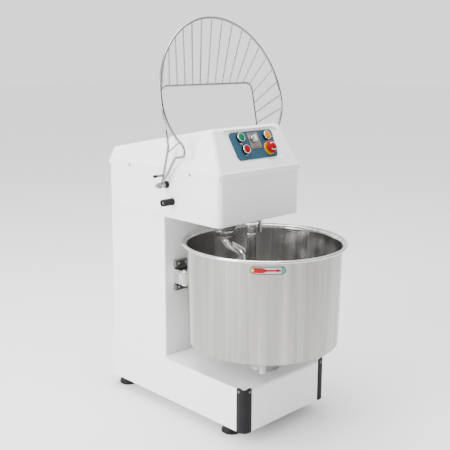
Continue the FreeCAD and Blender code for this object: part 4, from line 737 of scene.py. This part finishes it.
# ---- timer --------------------------------------------------------------
knob_place = place_of("timer_knob")
plate_spans = on_face("timer_plate")
plate_place = face_place(sum(plate_spans[0]) / 2, sum(plate_spans[1]) / 2)
knob_x = sum(on_face("timer_knob")[0]) / 2 - sum(plate_spans[0]) / 2
knob_up = sum(on_face("timer_knob")[1]) / 2 - sum(plate_spans[1]) / 2
PLATE_TOP = 1.5 * MM
INK_TOP = 1.56 * MM
dial = Shape()
dial.block(bar_shape(49 * MM, 54 * MM, 3.2 * MM), 0.0, PLATE_TOP, plate_place, 0)
dial.turn(rounded([(16.4 * MM, 1.3 * MM), (16.6 * MM, 2.2 * MM), (18.6 * MM, 2.2 * MM), (19.0 * MM, 1.3 * MM)],
                  0.2 * MM, 3), knob_place, 1, 96, True)
for k in range(31):
    turn = math.radians(240 - 300 * k / 30)
    end = (22.4 if k % 5 == 0 else 21.2) * MM
    tick = plate_place @ Matrix.Translation((knob_x, knob_up, 0)) @ Matrix.Rotation(turn, 4, "Z")
    dial.block([(19.6 * MM, -0.22 * MM), (end, -0.22 * MM), (end, 0.22 * MM), (19.6 * MM, 0.22 * MM)], PLATE_TOP,
               INK_TOP, tick, 2)
for k in range(7):
    turn = math.radians(240 - 50 * k)
    spot = plate_place @ Matrix.Translation((knob_x + 14.2 * MM * math.cos(turn),
                                             knob_up + 14.2 * MM * math.sin(turn), 0))
    dial.block(bar_shape(1.0 * MM, 1.8 * MM, 0.2 * MM), PLATE_TOP, INK_TOP, spot, 2)
for x in (-21.5, 21.5):
    for up in (-24.0, 24.0):
        spot = plate_place @ Matrix.Translation((x * MM, up * MM, 0))
        dial.turn(rounded([(0.0, 1.4 * MM), (1.5 * MM, 1.4 * MM), (1.5 * MM, 1.9 * MM), (0.0, 2.1 * MM)],
                          [0, 0, .3 * MM, 0], 3, False), spot, 1, 20)
dial.block(bar_shape(30 * MM, 3.2 * MM, 0.6 * MM), PLATE_TOP, INK_TOP,
           plate_place @ Matrix.Translation((0, -22.6 * MM, 0)), 2)
dial.piece("timer_dial", ["silver_plate", "chrome", "mark_dark"], "frame", "silver_plate", ["timer_plate"],
           0.25 * MM, 40)

knob = Shape()
skirt = rounded([(0.0, 2.1 * MM), (12.9 * MM, 2.1 * MM), (12.9 * MM, 3.6 * MM), (11.6 * MM, 6.6 * MM),
                 (10.4 * MM, 8.4 * MM), (0.0, 8.8 * MM)], [0, .4 * MM, .6 * MM, .8 * MM, 1.2 * MM, 0], 4, False)
knob.turn(skirt, knob_place, 0, 120, wave=fluted(36, 0.35 * MM, when=lambda r, h: r > 12.0 * MM))
grip = rounded([(-3.4 * MM, -11.2 * MM), (3.4 * MM, -11.2 * MM), (2.7 * MM, 0.0), (3.4 * MM, 11.2 * MM),
                (-3.4 * MM, 11.2 * MM), (-2.7 * MM, 0.0)],
               [2.4 * MM, 2.4 * MM, 8 * MM, 2.4 * MM, 2.4 * MM, 8 * MM], 5)
knob.block(grip, 6.0 * MM, 16.4 * MM, knob_place, 1)
knob.block(bar_shape(1.2 * MM, 8.0 * MM, 0.4 * MM, 0.0, 5.6 * MM), 16.4 * MM, 16.7 * MM, knob_place, 2)
knob.turn([(0.0, -29 * MM), (2.9 * MM, -29 * MM), (2.9 * MM, 2.4 * MM), (0.0, 2.4 * MM)], knob_place, 0, 24)
knob.piece("timer_grip", ["chrome", "white_knob", "mark_dark"], "timer", "white_knob", ["timer_knob"], 0.5 * MM,
           40)

# ---- printed marks on the panel: plain dashes, no lettering -------------
marks = Shape()
for node, widths in (("start_button", (17, 11)), ("stop_button", (13,)), ("jog_button", (19, 12))):
    spans = on_face(node)
    for row, width in enumerate(widths):
        spot = face_place(sum(spans[0]) / 2, sum(spans[1]) / 2 - (18.2 + 3.4 * row) * MM)
        marks.block(bar_shape(width * MM, 1.5 * MM, 0.5 * MM), -0.02 * MM, 0.06 * MM, spot, 0)
marks.piece("panel_marks", ["mark_white"], "frame", "panel_blue")

# ---- feet ---------------------------------------------------------------
feet_low, feet_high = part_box("feet")
FOOT_TOP = 39.6 * MM
SOLE_R = 33 * MM
foot_line = rounded([(0.0, 0.0), (30.0 * MM, 0.0), (32.6 * MM, 2.6 * MM), (31.6 * MM, 8.0 * MM),
                     (30.4 * MM, 8.6 * MM), (30.0 * MM, 10.2 * MM), (30.4 * MM, 11.0 * MM), (21.8 * MM, 37.6 * MM),
                     (20.6 * MM, FOOT_TOP), (0.0, FOOT_TOP)],
                    [0, 1.6 * MM, 1.4 * MM, .4 * MM, .3 * MM, .3 * MM, .4 * MM, .8 * MM, .5 * MM, 0], 4, False)
pads = Shape()
for x in (feet_low.x + SOLE_R, feet_high.x - SOLE_R):
    for y in (feet_low.y + SOLE_R, feet_high.y - SOLE_R):
        place = Matrix.Translation((x, y, 0))
        pads.turn(foot_line, place, 0, 96)
        pads.turn([(0.0, FOOT_TOP - MM), (5 * MM, FOOT_TOP - MM), (5 * MM, feet_high.z), (0.0, feet_high.z)],
                  place, 1, 24)
pads.piece("rubber_feet", ["black_rubber", "bright_steel"], "frame", "black_rubber", ["feet"], angle=40)

# ---- guard rests, pivots and studs --------------------------------------
rest_low, rest_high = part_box("guard_bumpers")
rest_mid = middle("guard_bumpers")
REST_R = (rest_high.z - rest_low.z) / 2
SIDE_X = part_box("head_casing")[1].x
RIB = 0.9 * MM
rests = Shape()
for side in (-1, 1):
    place = to_axis((side * SIDE_X, rest_mid.y, rest_mid.z), (side, 0, 0))
    length = rest_high.x - SIDE_X
    line = [(0.0, 0.0), (REST_R, 0.0)]
    for k in range(6):
        z = (5.0 + 6.2 * k) * MM
        line += [(REST_R, z), (REST_R - RIB, z + 0.7 * MM), (REST_R - RIB, z + 1.7 * MM), (REST_R, z + 2.4 * MM)]
    line += [(REST_R, length), (6.0 * MM, length), (6.0 * MM, length - 7 * MM), (0.0, length - 7 * MM)]
    radii = [0, .6 * MM] + [.3 * MM] * 24 + [1.8 * MM, .6 * MM, .3 * MM, 0]
    rests.turn(rounded(line, radii, 3, False), place, 0, 80)
    rests.turn(rounded([(0.0, 0.0), (REST_R + 1.6 * MM, 0.0), (REST_R + 1.6 * MM, 1.2 * MM), (0.0, 1.2 * MM)],
                       0.3 * MM, 3, False), place, 1, 64)
    head = to_axis((side * (rest_high.x - 7 * MM), rest_mid.y, rest_mid.z), (side, 0, 0))
    rests.block(ring_of(4.4 * MM, 6), 0.0, 3.4 * MM, head, 1)
    rests.turn([(0.0, -MM), (4 * MM, -MM), (4 * MM, 9 * MM), (0.0, 9 * MM)],
               to_axis((side * (SIDE_X - 9.5 * MM), rest_mid.y, rest_mid.z), (side, 0, 0)), 1, 24)
rests.piece("guard_rests", ["black_rubber", "bright_steel"], "frame", "black_rubber", ["guard_bumpers"], angle=40)

PIVOT = Vector(JOINTS["guard_hinge"]["pos_m"])
HUB_MID = 211 * MM
STUD_IN = 207 * MM
dress = Shape()
for side in (-1, 1):
    place = to_axis((side * HUB_MID, PIVOT.y, PIVOT.z), (side, 0, 0))
    dress.turn(rounded([(5.0 * MM, -6.5 * MM), (8.6 * MM, -6.5 * MM), (9.0 * MM, -5.0 * MM), (9.0 * MM, 5.0 * MM),
                        (8.6 * MM, 6.5 * MM), (5.0 * MM, 6.5 * MM)],
                       [0, .6 * MM, .8 * MM, .8 * MM, .6 * MM, 0], 3), place, 0, 64, True)
    dress.turn(rounded([(4.9 * MM, 6.6 * MM), (11.0 * MM, 6.6 * MM), (11.0 * MM, 8.4 * MM), (4.9 * MM, 8.4 * MM)],
                       0.35 * MM, 3), place, 1, 64, True)
    dress.block(ring_of(9.8 * MM, 6), 8.5 * MM, 17.4 * MM, place, 1)
    thread = [(0.0, 17.0 * MM)]
    for k in range(6):
        thread += [(5.0 * MM, (17.5 + k) * MM), (4.5 * MM, (18.0 + k) * MM)]
    dress.turn(thread + [(4.2 * MM, 24.0 * MM), (0.0, 24.4 * MM)], place, 1, 40)
    dress.turn(rounded([(0.0, -44.0 * MM), (9.0 * MM, -44.0 * MM), (9.0 * MM, -39.0 * MM), (4.95 * MM, -39.0 * MM),
                        (4.95 * MM, -36.0 * MM), (7.0 * MM, -36.0 * MM), (7.0 * MM, -30.0 * MM),
                        (4.95 * MM, -30.0 * MM), (4.95 * MM, -6.4 * MM), (0.0, -6.4 * MM)], 0.35 * MM, 3, False),
               place, 1, 48)
stud_points = [v.co for v in NODES["guard_pivots"].data.vertices if (v.co - PIVOT).yz.length > 22 * MM]
stud_y = (min(p.y for p in stud_points) + max(p.y for p in stud_points)) / 2
stud_z = (min(p.z for p in stud_points) + max(p.z for p in stud_points)) / 2
stud_out = max(p.x for p in stud_points)
for side in (-1, 1):
    place = to_axis((side * STUD_IN, stud_y, stud_z), (side, 0, 0))
    end = stud_out - STUD_IN
    dress.turn(rounded([(0.0, 1.0 * MM), (3.6 * MM, 1.0 * MM), (3.6 * MM, 5.5 * MM), (4.4 * MM, 6.2 * MM),
                        (4.4 * MM, end - 12 * MM), (0.0, end - 12 * MM)], [0, 0, .4 * MM, .5 * MM, .6 * MM, 0], 3,
                       False), place, 2, 48)
    dress.turn(rounded([(0.0, end - 12.4 * MM), (4.8 * MM, end - 12.4 * MM), (4.9 * MM, end - 2.0 * MM),
                        (3.8 * MM, end - 0.2 * MM), (0.0, end)], [0, .6 * MM, .6 * MM, 1.0 * MM, 0], 4, False),
               place, 3, 48)
dress.piece("pivot_hardware", ["chrome", "bright_steel", "tan_sleeve", "black_plastic"], "guard", "chrome",
            ["guard_pivots"], angle=35)

# ---- rear louvres, cable inlet and bracket bolts ------------------------
cover_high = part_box("column_rear_cover")[1]
LOUVRES = 9
LOWEST_LOUVRE = 434 * MM
LOUVRE_STEP = 20 * MM
hoods = Shape()
for k in range(LOUVRES):
    place = Matrix.Translation((0, cover_high.y, LOWEST_LOUVRE + LOUVRE_STEP * k))
    lines = []
    for i in range(9):
        angle = math.pi / 2 * i / 8
        lines.append((6.0 * MM * math.sin(angle), 1.0 * MM + 9.0 * MM * math.cos(angle)))
    for skin in (0.0, 1.2 * MM):
        shrink = 1 - skin / (7 * MM)
        row = [(side * (94 * MM - skin), y * shrink, z * shrink) for y, z in lines for side in (-1, 1)]
        faces = [(2 * i, 2 * i + 1, 2 * i + 3, 2 * i + 2) for i in range(8)]
        faces += [tuple(2 * i for i in range(9)), tuple(2 * i + 1 for i in range(9))[::-1]]
        hoods.add(row, faces if skin == 0.0 else [f[::-1] for f in faces], place)
hoods.piece("louvre_hoods", ["white_paint"], "frame", "white_paint", angle=50)

gland_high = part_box("cable_gland")[1]
gland_mid = middle("cable_gland")
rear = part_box("base_casing")[1].y
gland_place = to_axis((gland_mid.x, rear, gland_mid.z), (0, 1, 0))
reach = gland_high.y - rear
gland = Shape()
gland.turn(rounded([(4.6 * MM, -10 * MM), (9.9 * MM, -10 * MM), (9.9 * MM, 0.2 * MM), (14.0 * MM, 0.2 * MM),
                    (14.0 * MM, 1.6 * MM), (12.4 * MM, 1.8 * MM), (12.4 * MM, 5.2 * MM), (12.6 * MM, 5.2 * MM),
                    (12.4 * MM, 7.0 * MM), (9.2 * MM, reach), (4.6 * MM, reach)],
                   [0, .3 * MM, .3 * MM, .3 * MM, .3 * MM, .2 * MM, .1 * MM, .1 * MM, 1.5 * MM, 1.5 * MM, 0], 4),
           gland_place, 0, 96, True, fluted(24, 0.5 * MM, when=lambda r, h: r > 8 * MM and h > 6 * MM))
gland.turn([(9.9 * MM, -6 * MM), (14.0 * MM, -6 * MM), (14.0 * MM, -2.1 * MM), (9.9 * MM, -2.1 * MM)],
           gland_place, 0, 6, True)
gland.piece("cable_inlet_gland", ["black_plastic"], "frame", "black_plastic", ["cable_gland"], angle=40)

pads_low, pads_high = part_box("roller_pads")
fixings = Shape()
for side in (-1, 1):
    for level in (pads_low.z + 10 * MM, pads_high.z - 12 * MM):
        for x in (96, 128):
            place = to_axis((side * x * MM, pads_low.y, level), (0, -1, 0))
            fixings.turn(rounded([(0.0, 0.0), (7.2 * MM, 0.0), (7.2 * MM, 1.4 * MM), (0.0, 1.4 * MM)], 0.3 * MM, 3,
                                 False), place, 0, 40)
            fixings.block(ring_of(5.8 * MM, 6), 1.4 * MM, 5.4 * MM, place)
fixings.piece("bracket_bolts", ["bright_steel"], "frame", "bright_steel", bevel=0.35 * MM)

# ---- floor, light and camera --------------------------------------------
SPAN = 14
CELL = 3
ROW = SPAN + 1
cells = [(CELL * (i - SPAN // 2), CELL * (j - SPAN // 2), 0.0) for j in range(ROW) for i in range(ROW)]
squares = [(j * ROW + i, j * ROW + i + 1, (j + 1) * ROW + i + 1, (j + 1) * ROW + i)
           for j in range(SPAN) for i in range(SPAN)]
floor_mesh = bpy.data.meshes.new("studio_floor")
floor_mesh.from_pydata(cells, [], squares)
finish_of("studio_floor", (0.82, 0.82, 0.82), 0.8, tint=0.004, patch=1.5, grain=200.0, bump=0.02, specular=0.2)
floor_mesh.materials.append(MATERIALS["studio_floor"])
studio_floor = bpy.data.objects.new("studio_floor", floor_mesh)
bpy.context.scene.collection.objects.link(studio_floor)

world = bpy.data.worlds.new("studio")
world.use_nodes = True
sky = world.node_tree.nodes["Background"]
tree = world.node_tree


def world_node(kind, *sources, **values):
    node = tree.nodes.new(kind)
    for key, value in values.items():
        setattr(node, key, value)
    for socket, source in zip(node.inputs, sources):
        if isinstance(source, (int, float)):
            socket.default_value = source
        else:
            tree.links.new(source, socket)
    return node


# brightness of the room round the mixer: (share of a turn, level), from its left through front, right and rear
way = world_node("ShaderNodeSeparateXYZ", world_node("ShaderNodeTexCoord").outputs["Generated"])
turn = world_node("ShaderNodeMath", way.outputs["Y"], way.outputs["X"], operation="ARCTAN2").outputs[0]
share = world_node("ShaderNodeMapRange", turn, -math.pi, math.pi, 0.0, 1.0).outputs[0]
ramp = world_node("ShaderNodeValToRGB", share)
ramp.color_ramp.interpolation = "EASE"
ROOM = ((0.0, 0.62), (0.07, 0.20), (0.16, 0.185), (0.27, 0.17), (0.36, 0.20), (0.44, 0.16), (0.50, 0.42),
        (0.56, 0.60), (0.72, 0.60), (0.80, 0.75), (0.86, 0.95), (0.93, 0.80))
OVERHEAD = 0.8
SKY_STRENGTH = 2.6
for place, _ in ROOM[2:]:
    ramp.color_ramp.elements.new(place)
for stop, (place, _) in zip(ramp.color_ramp.elements, ROOM):
    stop.position = place
for stop, (place, level) in zip(ramp.color_ramp.elements, ROOM):
    stop.color = (level, level, level, 1.0)
height = world_node("ShaderNodeMapRange", way.outputs["Z"], 0.30, 0.80, 0.0, 1.0).outputs[0]
light = world_node("ShaderNodeMix", data_type="RGBA")
tree.links.new(height, light.inputs["Factor"])
tree.links.new(ramp.outputs["Color"], light.inputs["A"])
light.inputs["B"].default_value = (OVERHEAD, OVERHEAD, OVERHEAD, 1.0)
tree.links.new(light.outputs["Result"], sky.inputs["Color"])
sky.inputs["Strength"].default_value = SKY_STRENGTH
bpy.context.scene.world = world


def soft_light(name, place, target, size, power):
    data = bpy.data.lights.new(name, "AREA")
    data.shape = "RECTANGLE"
    data.size, data.size_y = size
    data.energy = power
    data.spread = math.pi
    lamp = bpy.data.objects.new(name, data)
    lamp.matrix_world = to_axis(place, Vector(place) - Vector(target))
    bpy.context.scene.collection.objects.link(lamp)


soft_light("key_left", (-3.4, 0.3, 1.9), (0.0, 0.0, 0.5), (1.8, 2.6), 210)
soft_light("top", (-0.2, 0.3, 3.6), (0.0, 0.1, 0.6), (2.2, 2.2), 170)

CAMERA_TURN = math.radians(-44.6876)
CAMERA_DIP = math.radians(12.6985)
CAMERA_ROLL = math.radians(0.2857)
CAMERA_PLACE = (-1.8334, -1.8372, 1.2202)
CAMERA_LENS = 63.58
ahead = Vector((-math.sin(CAMERA_TURN) * math.cos(CAMERA_DIP), math.cos(CAMERA_TURN) * math.cos(CAMERA_DIP),
                -math.sin(CAMERA_DIP)))
level = Vector((math.cos(CAMERA_TURN), math.sin(CAMERA_TURN), 0.0))
above = level.cross(ahead)
side_way = level * math.cos(CAMERA_ROLL) + above * math.sin(CAMERA_ROLL)
up_way = above * math.cos(CAMERA_ROLL) - level * math.sin(CAMERA_ROLL)
view = bpy.data.cameras.new("camera")
view.lens = CAMERA_LENS
view.sensor_width = 36.0
view.dof.use_dof = False
camera = bpy.data.objects.new("camera", view)
camera.matrix_world = (Matrix.Translation(CAMERA_PLACE)
                       @ Matrix((side_way, up_way, -ahead)).transposed().to_4x4())
bpy.context.scene.collection.objects.link(camera)
bpy.context.scene.camera = camera
